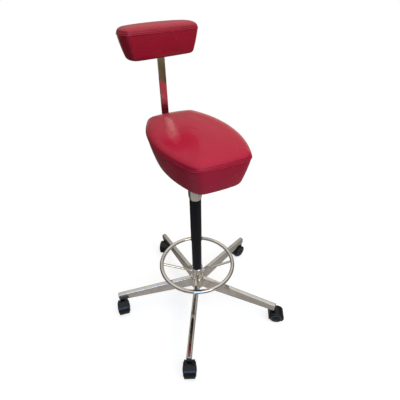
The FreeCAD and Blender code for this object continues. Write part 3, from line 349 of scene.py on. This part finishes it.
# Seat plate and lift channel: pressed steel in the column's enamel, bolted up into the seat's plywood board.
# The release lever is plain steel with a black knob pushed on its rod.
def plywood_finish():
    material, paint, place = new_finish("plywood")
    grain = speckle(paint, stretched(paint, place, (9, 1.3, 40)), 14, 6, 0.6)
    height = paint.node("SeparateXYZ", {}, {0: place}, out="Z")
    ply = ease(paint, paint.maths("PINGPONG", height, 0.0015), 0.0005, 0.0010)
    colour = blend(paint, ease(paint, grain, 0.3, 0.7), rgb(0.60, 0.44, 0.27), rgb(0.42, 0.28, 0.15))
    colour = blend(paint, ply * 0.35, colour, rgb(0.30, 0.19, 0.10))
    return finished(material, paint, {
        "Base Color": colour,
        "Roughness": 0.62 + grain * 0.15,
    }, grain, 0.0001)


plywood = plywood_finish()
dress(black_enamel, "lift_channel", "seat_plate")
dress(turned_steel, "seat_fasteners", "release_lever", "lever_pivot")
dress(hood_plastic, "lever_knob")
dress(plywood, "seat_board")


# Seat: foam on the plywood board under smooth red leather, tacked under the board's edge all round.
# A boxed cover: the crowned cap has a narrow sewn hem above the seam, and the seam is piped.
SEAT_RED = rgb(0.46, 0.009, 0.038)
SEAT_DEEP = rgb(0.31, 0.006, 0.025)
SEAT_SHINE = 0.25
LEATHER_RUBBED = rgb(0.54, 0.022, 0.060)


def leather_finish(name, red, deep, shine):
    material, paint, place = new_finish(name)
    crease_shade = paint.node("Attribute", {"attribute_name": "crease_shade"}, out="Fac")
    cloud = speckle(paint, place, 9, 4, 0.55)
    rubbed = ease(paint, speckle(paint, place, 34, 5, 0.6), 0.52, 0.74)
    cells = paint.node("TexVoronoi", {}, {"Vector": place, "Scale": 720})
    wrinkle = speckle(paint, place, 260, 4, 0.6)
    colour = blend(paint, ease(paint, cloud, 0.3, 0.7), red, deep)
    colour = blend(paint, 0.72, colour, red)
    colour = blend(paint, rubbed * 0.16, colour, LEATHER_RUBBED)
    # Painted shade: the colour is pulled towards the deep red near the seams, as shade in the creases there.
    colour = blend(paint, crease_shade * 0.75, colour, deep)
    return finished(material, paint, {
        "Base Color": colour,
        "Roughness": 0.20 + cloud * 0.08 + rubbed * 0.05 + crease_shade * 0.12,
        "Specular IOR Level": shine,
    }, cells * 0.6 + wrinkle * 0.5, 0.00004)


seat_leather = leather_finish("seat_leather", SEAT_RED, SEAT_DEEP, SEAT_SHINE)


def closed_hull(node):
    """A closed hull round a CAD node, as a tree that rays are cast in."""
    shell = bmesh.new()
    shell.from_mesh(frame["nodes"][node].data)
    made = bmesh.ops.convex_hull(shell, input=shell.verts)
    inside = [item for item in made["geom_interior"] if isinstance(item, bmesh.types.BMVert)]
    bmesh.ops.delete(shell, geom=inside, context="VERTS")
    hull = BVHTree.FromBMesh(shell)
    shell.free()
    return hull


def even_headings(hull, centre, level, count, trials=1440):
    """Headings whose rays meet the hull at even steps along its outline."""
    every = [2 * math.pi * index / trials for index in range(trials)]
    points = row_at(hull, centre, every, level)
    lengths = [0]
    for index in range(trials):
        lengths.append(lengths[-1] + (points[(index + 1) % trials] - points[index]).length)
    chosen = []
    index = 0
    for step in range(count):
        target = lengths[-1] * step / count
        while lengths[index + 1] < target:
            index += 1
        share = (target - lengths[index]) / (lengths[index + 1] - lengths[index])
        chosen.append(2 * math.pi * (index + share) / trials)
    return chosen


def row_at(hull, centre, headings, level, draw_in=0):
    """The hull's outline at one level, drawn in towards the middle by a few millimetres."""
    points = []
    for heading in headings:
        outward = Vector((math.cos(heading), math.sin(heading), 0))
        origin = Vector((centre.x, centre.y, level))
        points.append(hull.ray_cast(origin, outward)[0] - outward * draw_in)
    return points


def shrunk_row(row, centre, share, level):
    return [Vector((*(centre + (point - centre) * share).xy, level)) for point in row]


def stack_rows(name, rows):
    """Join closed rows of points by extruding each from the one before, and close both ends."""
    mesh = bmesh.new()
    place = mesh.verts.layers.int.new("place")
    order = mesh.verts.layers.int.new("order")
    edges = None
    for number, row in enumerate(rows):
        if edges is None:
            verts = bmesh.ops.create_circle(mesh, segments=len(row), radius=1)["verts"]
            for index, vert in enumerate(verts):
                vert[place] = index
            edges = list(mesh.edges)
            bmesh.ops.contextual_create(mesh, geom=edges)
        else:
            made = bmesh.ops.extrude_edge_only(mesh, edges=edges)["geom"]
            verts = [item for item in made if isinstance(item, bmesh.types.BMVert)]
            edges = [item for item in made if isinstance(item, bmesh.types.BMEdge)]
        for vert in verts:
            vert.co = row[vert[place]]
            vert[order] = number
    bmesh.ops.contextual_create(mesh, geom=edges)
    bmesh.ops.recalc_face_normals(mesh, faces=mesh.faces)
    data = bpy.data.meshes.new(name)
    mesh.to_mesh(data)
    mesh.free()
    piece = bpy.data.objects.new(name, data)
    bpy.context.scene.collection.objects.link(piece)
    return piece


def plump(piece, held_rows, pressure, most, frames=20):
    """Let air pressure round the foam out between the rows that are sewn or tacked down."""
    held = [item.value in held_rows for item in piece.data.attributes["order"].data]
    group = piece.vertex_groups.new(name="held")
    group.add([index for index, fixed in enumerate(held) if fixed], 1, "REPLACE")
    cloth = piece.modifiers.new("plumped", "CLOTH")
    cloth.settings.quality = 8
    cloth.settings.tension_stiffness = 40
    cloth.settings.compression_stiffness = 40
    cloth.settings.shear_stiffness = 20
    cloth.settings.bending_stiffness = 4
    cloth.settings.use_pressure = True
    cloth.settings.uniform_pressure_force = pressure
    cloth.settings.vertex_group_mass = "held"
    cloth.settings.effector_weights.gravity = 0
    cloth.point_cache.frame_start = 1
    cloth.point_cache.frame_end = frames
    for number in range(1, frames + 1):
        bpy.context.scene.frame_set(number)
    evaluated = piece.evaluated_get(bpy.context.evaluated_depsgraph_get())
    moved = [vert.co.copy() for vert in evaluated.data.vertices]
    piece.modifiers.remove(cloth)
    bpy.context.scene.frame_set(1)
    lifts = [target - vert.co for vert, target in zip(piece.data.vertices, moved)]
    for vert, lift in zip(piece.data.vertices, evened(piece, lifts, held)):
        vert.co += lift * (most / (most + lift.length))


def evened(piece, lifts, held, rounds=14):
    """Share each point's lift with its neighbours, so that the leather swells without crumpling."""
    near = [[] for _ in lifts]
    for edge in piece.data.edges:
        one, two = edge.vertices
        near[one].append(two)
        near[two].append(one)
    for _ in range(rounds):
        lifts = [
            lift if fixed else (lift + sum((lifts[index] for index in around), Vector()) / len(around)) / 2
            for lift, fixed, around in zip(lifts, held, near)
        ]
    return lifts


def pucker(piece, seam_level, reach, height, fineness=75, upright=0.15):
    """Small gathers that run across the seam and die out away from it."""
    rest = [(vert, vert.normal.copy()) for vert in piece.data.vertices]
    for vert, outward in rest:
        fade = math.exp(-abs(vert.co.z - seam_level) / reach)
        ripple = noise.noise(Vector((vert.co.x, vert.co.y, upright * vert.co.z)) * fineness)
        vert.co += outward * (height * fade * ripple)


def mark_crease_shade(piece, levels, reach):
    """Write how near each point is to a seam, for the painted shade in the creases, and drop the marks of the
    rows.
    """
    for marks in ("place", "order"):
        piece.data.attributes.remove(piece.data.attributes[marks])
    crease_shade = piece.data.attributes.new("crease_shade", "FLOAT", "POINT")
    for item, vert in zip(crease_shade.data, piece.data.vertices):
        item.value = max(math.exp(-((vert.co.z - level) / reach) ** 2) for level in levels)


def soften(piece):
    piece.data.shade_smooth()
    rounding = piece.modifiers.new("rounding", "SUBSURF")
    rounding.levels = 1
    rounding.render_levels = 1


def piping(name, row, radius):
    """A leather cord sewn into the seam, as a closed tube along one row of points."""
    curve = bpy.data.curves.new(name, "CURVE")
    curve.dimensions = "3D"
    curve.bevel_depth = radius
    curve.bevel_resolution = 3
    line = curve.splines.new("POLY")
    line.points.add(len(row) - 1)
    for point, spot in zip(line.points, row):
        point.co = (*spot, 1)
    line.use_cyclic_u = True
    cord = bpy.data.objects.new(f"{name}_line", curve)
    bpy.context.scene.collection.objects.link(cord)
    data = bpy.data.meshes.new_from_object(cord.evaluated_get(bpy.context.evaluated_depsgraph_get()))
    bpy.data.objects.remove(cord)
    data.name = name
    data.shade_smooth()
    tube = bpy.data.objects.new(name, data)
    bpy.context.scene.collection.objects.link(tube)
    return tube


def thread_finish():
    material, paint, place = new_finish("red_thread")
    twist = speckle(paint, place, 1800, 2)
    return finished(material, paint, {
        "Base Color": blend(paint, twist, rgb(0.40, 0.008, 0.034), rgb(0.24, 0.005, 0.020)),
        "Roughness": 0.5 + twist * 0.2,
    }, twist, 0.0001)


red_thread = thread_finish()


def stitches(name, row, pitch, length, radius):
    """Short stitches of thread at an even pitch along a closed row of points."""
    mesh = bmesh.new()
    count = len(row)
    travelled = 0
    for index in range(count):
        start = row[index]
        step = row[(index + 1) % count] - start
        while travelled < step.length:
            lie = step.to_track_quat("X", "Z").to_matrix().to_4x4()
            shape = Matrix.Diagonal((length / 2, radius, radius, 1))
            spot = Matrix.Translation(start + step.normalized() * travelled)
            bmesh.ops.create_uvsphere(mesh, u_segments=6, v_segments=6, radius=1, matrix=spot @ lie @ shape)
            travelled += pitch
        travelled -= step.length
    data = bpy.data.meshes.new(name)
    mesh.to_mesh(data)
    mesh.free()
    data.shade_smooth()
    made = bpy.data.objects.new(name, data)
    bpy.context.scene.collection.objects.link(made)
    return made


def upholstered(piece, body, material):
    piece.data.materials.clear()
    piece.data.materials.append(material)
    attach(piece, body)


HEM_HEIGHT = 0.008
HEM_LEVELS = (0.0028, 0.0054)
SEAM_LEAD = 0.003
SEAM_TUCK = 0.0003
OUTLINE_DROP = 0.001
CREASE_SHADE_REACH = 0.0022
STITCH_DEPTH = 0.0014
STITCH_PITCH = 0.0055
STITCH_LENGTH = 0.0042
STITCH_RADIUS = 0.0005
STITCH_SUNK = 0.0007
PIPING_RADIUS = 0.0021
AIR_PRESSURE = 2.5
MOST_SWELL = 0.001


class Cover:
    """A cushion's cover: rows of points on the hull of its CAD node, below and above a sewn seam."""

    def __init__(self, node, centre, boxing, columns):
        self.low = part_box(node)[0].z
        self.seam = self.low + boxing
        self.centre = centre
        self.hull = closed_hull(node)
        self.headings = even_headings(self.hull, centre, self.seam - OUTLINE_DROP, columns)

    def row(self, level, draw_in=0):
        return row_at(self.hull, self.centre, self.headings, level, draw_in)

    def sides(self, edge_levels, edge_tuck, steps, bulge):
        """Round the lower edge, then up the boxing in even steps to just under the seam."""
        rows = [self.row(self.low + level, edge_tuck) for level in edge_levels]
        start = self.low + edge_levels[-1]
        stop = self.seam - SEAM_LEAD
        for step in range(1, steps):
            share = step / steps
            swell = bulge * math.sin(math.pi * share)
            rows.append(self.row(start + (stop - start) * share, -swell))
        rows.append(self.row(stop, SEAM_TUCK))
        return rows

    def cap(self, edge_levels, shares, crown):
        """The seam, the hem and its stitch line, the rolled edge, and the crown up to its middle."""
        rows = [self.row(self.seam, STITCH_DEPTH)]
        rows += [self.row(self.seam + rise) for rise in HEM_LEVELS]
        rows.append(self.row(self.seam + HEM_HEIGHT, STITCH_DEPTH))
        rows += [self.row(self.seam + rise) for rise in edge_levels]
        rim = rows[-1]
        for share in shares:
            rows.append(shrunk_row(rim, self.centre, share, rim[0].z + crown * (1 - share ** 2)))
        return rows

    def trim(self, name, body, leather):
        """Piping in the seam, and stitches along the hem."""
        seam_row = self.row(self.seam, STITCH_DEPTH)
        upholstered(piping(f"{name}_piping", seam_row, PIPING_RADIUS), body, leather)
        hem_row = self.row(self.seam + HEM_HEIGHT, STITCH_SUNK)
        thread = stitches(f"{name}_stitches", hem_row, STITCH_PITCH, STITCH_LENGTH, STITCH_RADIUS)
        upholstered(thread, body, red_thread)


def sewn_rows(seam_number):
    """The numbers of the rows that are sewn down: the seam's and the hem's."""
    return {seam_number, seam_number + len(HEM_LEVELS) + 1}


def finish_cushion(piece, cover, held, gather_reach, gather_height):
    plump(piece, held, AIR_PRESSURE, MOST_SWELL)
    pucker(piece, cover.seam, gather_reach, gather_height)
    mark_crease_shade(piece, (cover.seam, cover.seam + HEM_HEIGHT), CREASE_SHADE_REACH)
    soften(piece)


SEAT_BOXING = 0.094
SEAT_CROWN = 0.005
SEAT_BULGE = 0.0012
SEAT_COLUMNS = 220
SEAT_SIDE_STEPS = 11
SEAT_EDGE_TUCK = 0.0005
SEAT_LOW_LEVELS = (0.0003, 0.0012, 0.0035, 0.0075, 0.0125, 0.018)
SEAT_CAP_LEVELS = (0.0104, 0.013, 0.016, 0.019, 0.0215, 0.0235, 0.025, 0.026, 0.0266)
SEAT_CAP_SHARES = (0.88, 0.76, 0.64, 0.52, 0.40, 0.29, 0.19, 0.10, 0.03)
BOARD_GAP = 0.0006
TACK_RISE = 0.0010
seat = Cover("seat_cover", Vector((0, 0, 0)), SEAT_BOXING, SEAT_COLUMNS)
board_low, board_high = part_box("seat_board")
board_middle = (board_low.z + board_high.z) / 2
board_row = row_at(closed_hull("seat_board"), seat.centre, seat.headings, board_middle, -BOARD_GAP)
seat_rows = [
    shrunk_row(board_row, seat.centre, 1, board_high.z + BOARD_GAP),
    shrunk_row(board_row, seat.centre, 1, seat.low + TACK_RISE),
]
seat_held = set(range(len(seat_rows)))
seat_rows += seat.sides(SEAT_LOW_LEVELS, SEAT_EDGE_TUCK, SEAT_SIDE_STEPS, SEAT_BULGE)
seat_held |= sewn_rows(len(seat_rows))
seat_rows += seat.cap(SEAT_CAP_LEVELS, SEAT_CAP_SHARES, SEAT_CROWN)
seat_cushion = stack_rows("seat_cushion", seat_rows)
finish_cushion(seat_cushion, seat, seat_held, gather_reach=0.010, gather_height=0.0005)
upholstered(seat_cushion, "seat", seat_leather)
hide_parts("seat_cover", "seat_foam")
seat.trim("seat", "seat", seat_leather)


# Back bar: a flat chromed steel bar, bent up behind the seat and bolted under the plate, a pin on its end.
# Inside the pad a nylon block turns on the pin under a nut, with the plywood panel screwed to its front.
dress(chrome, "back_bar")
dress(turned_steel, "back_screws")
dress(guide_plastic, "back_block")
dress(plywood, "back_panel")


# Back pad: foam round the block and panel, boxed and piped like the seat, under red leather painted darker
# than the seat's as painted shade.
# It turns on the bar, which enters through a round hole in its underside.
# Painted shade: the pad's reds are a darker copy of the seat's, standing in for the pad lying in less light.
BACK_RED_SHADED = rgb(0.38, 0.007, 0.026)
BACK_DEEP_SHADED = rgb(0.25, 0.005, 0.018)
BACK_SHINE = 0.45
BACK_BOXING = 0.076
BACK_CROWN = 0.004
BACK_BULGE = 0.001
BACK_COLUMNS = 180
BACK_SIDE_STEPS = 9
BACK_EDGE_TUCK = 0.0003
BACK_LOW_LEVELS = (0.0012, 0.003, 0.006, 0.010, 0.014)
BACK_CAP_LEVELS = (0.0104, 0.013, 0.0155, 0.018, 0.020, 0.0215, 0.0225)
BACK_CAP_SHARES = (0.82, 0.64, 0.46, 0.28, 0.12, 0.03)
UNDERSIDE_RISE = 0.0003
UNDERSIDE_TUCK = 0.0005
BAR_HOLE_RADIUS = 0.0144
BAR_HOLE_LEVELS = (0.069, 0.045, 0.022, 0.004, 0.001)
UNDERSIDE_SHARES = (0.04, 0.12, 0.3, 0.5, 0.7, 0.86)
shaded_back_leather = leather_finish("shaded_back_leather", BACK_RED_SHADED, BACK_DEEP_SHADED, BACK_SHINE)
back_low, back_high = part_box("back_cover")
back_middle = Vector(((back_low.x + back_high.x) / 2, (back_low.y + back_high.y) / 2, 0))
back = Cover("back_cover", back_middle, BACK_BOXING, BACK_COLUMNS)
bottom_row = back.row(back.low + UNDERSIDE_RISE, UNDERSIDE_TUCK)
hole_row = []
for heading in back.headings:
    outward = Vector((math.cos(heading), math.sin(heading), 0))
    hole_row.append(back_middle + outward * BAR_HOLE_RADIUS)
back_rows = [shrunk_row(hole_row, back_middle, 1, back.low + level) for level in BAR_HOLE_LEVELS]
back_held = set(range(len(back_rows) + 2))
for share in UNDERSIDE_SHARES:
    mixed = [inner.lerp(outer, share) for inner, outer in zip(hole_row, bottom_row)]
    back_rows.append(shrunk_row(mixed, back_middle, 1, back.low))
back_rows.append(bottom_row)
back_rows += back.sides(BACK_LOW_LEVELS, BACK_EDGE_TUCK, BACK_SIDE_STEPS, BACK_BULGE)
back_held |= sewn_rows(len(back_rows))
back_rows += back.cap(BACK_CAP_LEVELS, BACK_CAP_SHARES, BACK_CROWN)
back_pad = stack_rows("back_pad", back_rows)
finish_cushion(back_pad, back, back_held, gather_reach=0.012, gather_height=0.0008)
upholstered(back_pad, "back", shaded_back_leather)
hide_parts("back_cover", "back_foam")
back.trim("back", "back", shaded_back_leather)


# Studio: a pale floor that fades into a white background, a wide soft light overhead, a key light at the
# front right and a low cool window. A dome and a floor card, met only by reflections, tone the metal.
FLOOR_RADIUS = 6.0
FLOOR_FADE = (0.7, 1.6)
FLOOR_GLOW = 0.74


def seen_directly(paint):
    """1 for what the camera sees, itself or in a reflection or through glass."""
    kinds = ("Camera", "Glossy", "Transmission")
    direct, mirrored, through = [paint.node("LightPath", out=f"Is {kind} Ray") for kind in kinds]
    return paint.maths("MINIMUM", direct + mirrored + through, 1)


def floor_finish():
    material, paint, place = new_finish("pale_floor")
    distance = paint.node("VectorMath", {"operation": "LENGTH"}, {0: place}, out="Value")
    grain = speckle(paint, place, 3, 3)
    colour = blend(paint, grain, rgb(0.43, 0.43, 0.43), rgb(0.41, 0.41, 0.41))
    matt = paint.node("BsdfDiffuse", {}, {"Color": colour})
    glow = paint.node("Emission", {}, {"Color": rgb(1, 1, 1), "Strength": FLOOR_GLOW})
    lit = paint.node("AddShader", {}, {0: matt, 1: glow})
    white = paint.node("Emission", {}, {"Color": rgb(1, 1, 1), "Strength": 1})
    shown = paint.node("MixShader", {}, {0: ease(paint, distance, *FLOOR_FADE), 1: lit, 2: white})
    surface = paint.node("MixShader", {}, {0: seen_directly(paint), 1: matt, 2: shown})
    paint.node("OutputMaterial", {}, {"Surface": surface})
    return material


def staged(name, mesh, material):
    data = bpy.data.meshes.new(name)
    mesh.to_mesh(data)
    mesh.free()
    data.materials.append(material)
    made = bpy.data.objects.new(name, data)
    bpy.context.scene.collection.objects.link(made)
    return made


def disc(radius, level):
    mesh = bmesh.new()
    raised = Matrix.Translation((0, 0, level))
    bmesh.ops.create_circle(mesh, cap_ends=True, segments=96, radius=radius, matrix=raised)
    return mesh


def glowing(material, paint, tone):
    glow = paint.node("Emission", {}, {"Color": tone, "Strength": 1})
    paint.node("OutputMaterial", {}, {"Surface": glow})
    return material


ROOM_RADIUS = 4.0
CARD_LEVEL = 0.0015
WALL_TONES = (
    (0.00, rgb(0.52, 0.45, 0.34)),
    (0.10, rgb(1.0, 0.90, 0.68)),
    (0.40, rgb(0.32, 0.30, 0.27)),
    (0.62, rgb(0.60, 0.57, 0.52)),
    (0.85, rgb(0.82, 0.80, 0.77)),
)
ROOM_TONES = (
    (0.00, rgb(0.11, 0.080, 0.048)),
    (0.10, rgb(0.25, 0.20, 0.13)),
    (0.30, rgb(0.11, 0.10, 0.09)),
    (0.55, rgb(0.30, 0.29, 0.28)),
    (0.85, rgb(0.82, 0.80, 0.77)),
)
FLOOR_TONES = (
    (0.00, rgb(0.40, 0.38, 0.36)),
    (0.22, rgb(0.42, 0.39, 0.37)),
    (0.40, rgb(0.18, 0.13, 0.09)),
    (0.90, rgb(0.18, 0.12, 0.07)),
)
DARK_WOOD = rgb(0.035, 0.027, 0.018)
WALL_WAY = (0.5, 0.87, 0)
LAMP_WAY = (0.05, -0.80, 0.60)
LAMP_TONE = rgb(4.0, 3.7, 3.3)


def along(paint, place, way):
    """How far a place on the room's dome lies in one direction, as a share of the dome's radius."""
    reach = paint.node("VectorMath", {"operation": "DOT_PRODUCT"}, {0: place, 1: way}, out="Value")
    return reach / ROOM_RADIUS


def room_finish():
    """Tones by height: a lit wall at the back right, a dim room round the rest, and a lamp in front."""
    material, paint, place = new_finish("room_card")
    height = paint.node("SeparateXYZ", {}, {0: place}, out="Z") / ROOM_RADIUS
    wall = paint.node("ValToRGB", {"stops": WALL_TONES}, {0: height})
    room = paint.node("ValToRGB", {"stops": ROOM_TONES}, {0: height})
    uprights = ease(paint, speckle(paint, stretched(paint, place, (1.3, 1.3, 0.03)), 1, 3, 0.6), 0.46, 0.56)
    room = blend(paint, uprights * ease(paint, height, 0.30, 0.08) * 0.8, room, DARK_WOOD)
    tone = blend(paint, ease(paint, along(paint, place, WALL_WAY), 0.55, 1.0), room, wall)
    lamp = ease(paint, along(paint, place, LAMP_WAY), 0.97, 0.99)
    return glowing(material, paint, blend(paint, lamp, tone, LAMP_TONE))


def floor_card_finish():
    """A pale floor near the stool that darkens outwards, in rays, and behind the stool, in its shade."""
    material, paint, place = new_finish("floor_card")
    distance = paint.node("VectorMath", {"operation": "LENGTH"}, {0: place}, out="Value")
    heading = paint.node("VectorMath", {"operation": "NORMALIZE"}, {0: place})
    rearward = paint.node("SeparateXYZ", {}, {0: place}, out="Y")
    tone = paint.node("ValToRGB", {"stops": FLOOR_TONES}, {0: distance / ROOM_RADIUS})
    rays = ease(paint, speckle(paint, heading, 3.2, 3, 0.6), 0.44, 0.58)
    tone = blend(paint, rays * ease(paint, distance, 0.1, 1.6, 0.2, 0.75), tone, DARK_WOOD)
    tone = blend(paint, ease(paint, rearward, 0.0, 0.35) * 0.75, tone, DARK_WOOD)
    return glowing(material, paint, tone)


staged("floor", disc(FLOOR_RADIUS, 0), floor_finish())
floor_card = staged("floor_card", disc(ROOM_RADIUS, CARD_LEVEL), floor_card_finish())
room_mesh = bmesh.new()
bmesh.ops.create_uvsphere(room_mesh, u_segments=64, v_segments=32, radius=ROOM_RADIUS)
everything = list(room_mesh.verts) + list(room_mesh.edges) + list(room_mesh.faces)
bmesh.ops.bisect_plane(
    room_mesh,
    geom=everything,
    plane_co=(0, 0, CARD_LEVEL),
    plane_no=(0, 0, 1),
    clear_inner=True,
)
room_card = staged("room_card", room_mesh, room_finish())
for card in (floor_card, room_card):
    card.visible_camera = False
    card.visible_diffuse = False
    card.visible_shadow = False
    card.visible_transmission = False
    card.visible_volume_scatter = False


def soft_light(name, place, aim, size, power, colour):
    lamp = bpy.data.lights.new(name, "AREA")
    lamp.shape = "RECTANGLE"
    lamp.size, lamp.size_y = size
    lamp.energy = power
    lamp.color = colour
    made = bpy.data.objects.new(name, lamp)
    made.location = place
    made.rotation_euler = (Vector(aim) - Vector(place)).to_track_quat("-Z", "Y").to_euler()
    bpy.context.scene.collection.objects.link(made)
    return made


overhead = soft_light(
    "overhead",
    place=(0.2, 0.2, 3.2),
    aim=(0, 0, 0.5),
    size=(3.0, 3.0),
    power=54,
    colour=(1, 0.98, 0.95),
)
key = soft_light(
    "key",
    place=(1.2, -2.2, 2.3),
    aim=(0, 0, 0.6),
    size=(1.8, 1.4),
    power=37,
    colour=(1, 0.97, 0.93),
)
overhead.visible_glossy = False
key.visible_glossy = False
soft_light(
    "window",
    place=(-1.0, -2.6, 1.62),
    aim=(-0.1, -0.2, 0.1),
    size=(1.2, 0.9),
    power=20,
    colour=(0.25, 0.5, 1),
)

world = bpy.data.worlds.new("studio")
bpy.context.scene.world = world
world.use_nodes = True
world.node_tree.nodes.clear()
sky = Shade(world.node_tree)
AMBIENT = 0.20
backdrop = sky.node("Background", {}, {"Color": rgb(1, 1, 1), "Strength": 1})
ambient = sky.node("Background", {}, {"Color": rgb(1, 1, 1), "Strength": AMBIENT})
shown = sky.node("MixShader", {}, {0: seen_directly(sky), 1: ambient, 2: backdrop})
sky.node("OutputWorld", {}, {"Surface": shown})

CAMERA_AZIMUTH = math.radians(-23.73)
CAMERA_ELEVATION = math.radians(35.28)
CAMERA_ROLL = math.radians(-1.57)
CAMERA_DISTANCE = 1.0677
AIM_LEVEL = 0.5441
lens = bpy.data.cameras.new("camera")
lens.sensor_width = 36
lens.lens = 26.94
lens.shift_x = 0.0121
lens.shift_y = -0.0108
camera = bpy.data.objects.new("camera", lens)
back_way = Vector((
    math.sin(CAMERA_AZIMUTH) * math.cos(CAMERA_ELEVATION),
    -math.cos(CAMERA_AZIMUTH) * math.cos(CAMERA_ELEVATION),
    math.sin(CAMERA_ELEVATION),
))
looking = (-back_way).to_track_quat("-Z", "Y").to_matrix() @ Matrix.Rotation(CAMERA_ROLL, 3, "Z")
stand = Vector((0, 0, AIM_LEVEL)) + back_way * CAMERA_DISTANCE
camera.matrix_world = Matrix.Translation(stand) @ looking.to_4x4()
bpy.context.scene.collection.objects.link(camera)
bpy.context.scene.camera = camera
bpy.context.scene.view_settings.view_transform = "Standard"
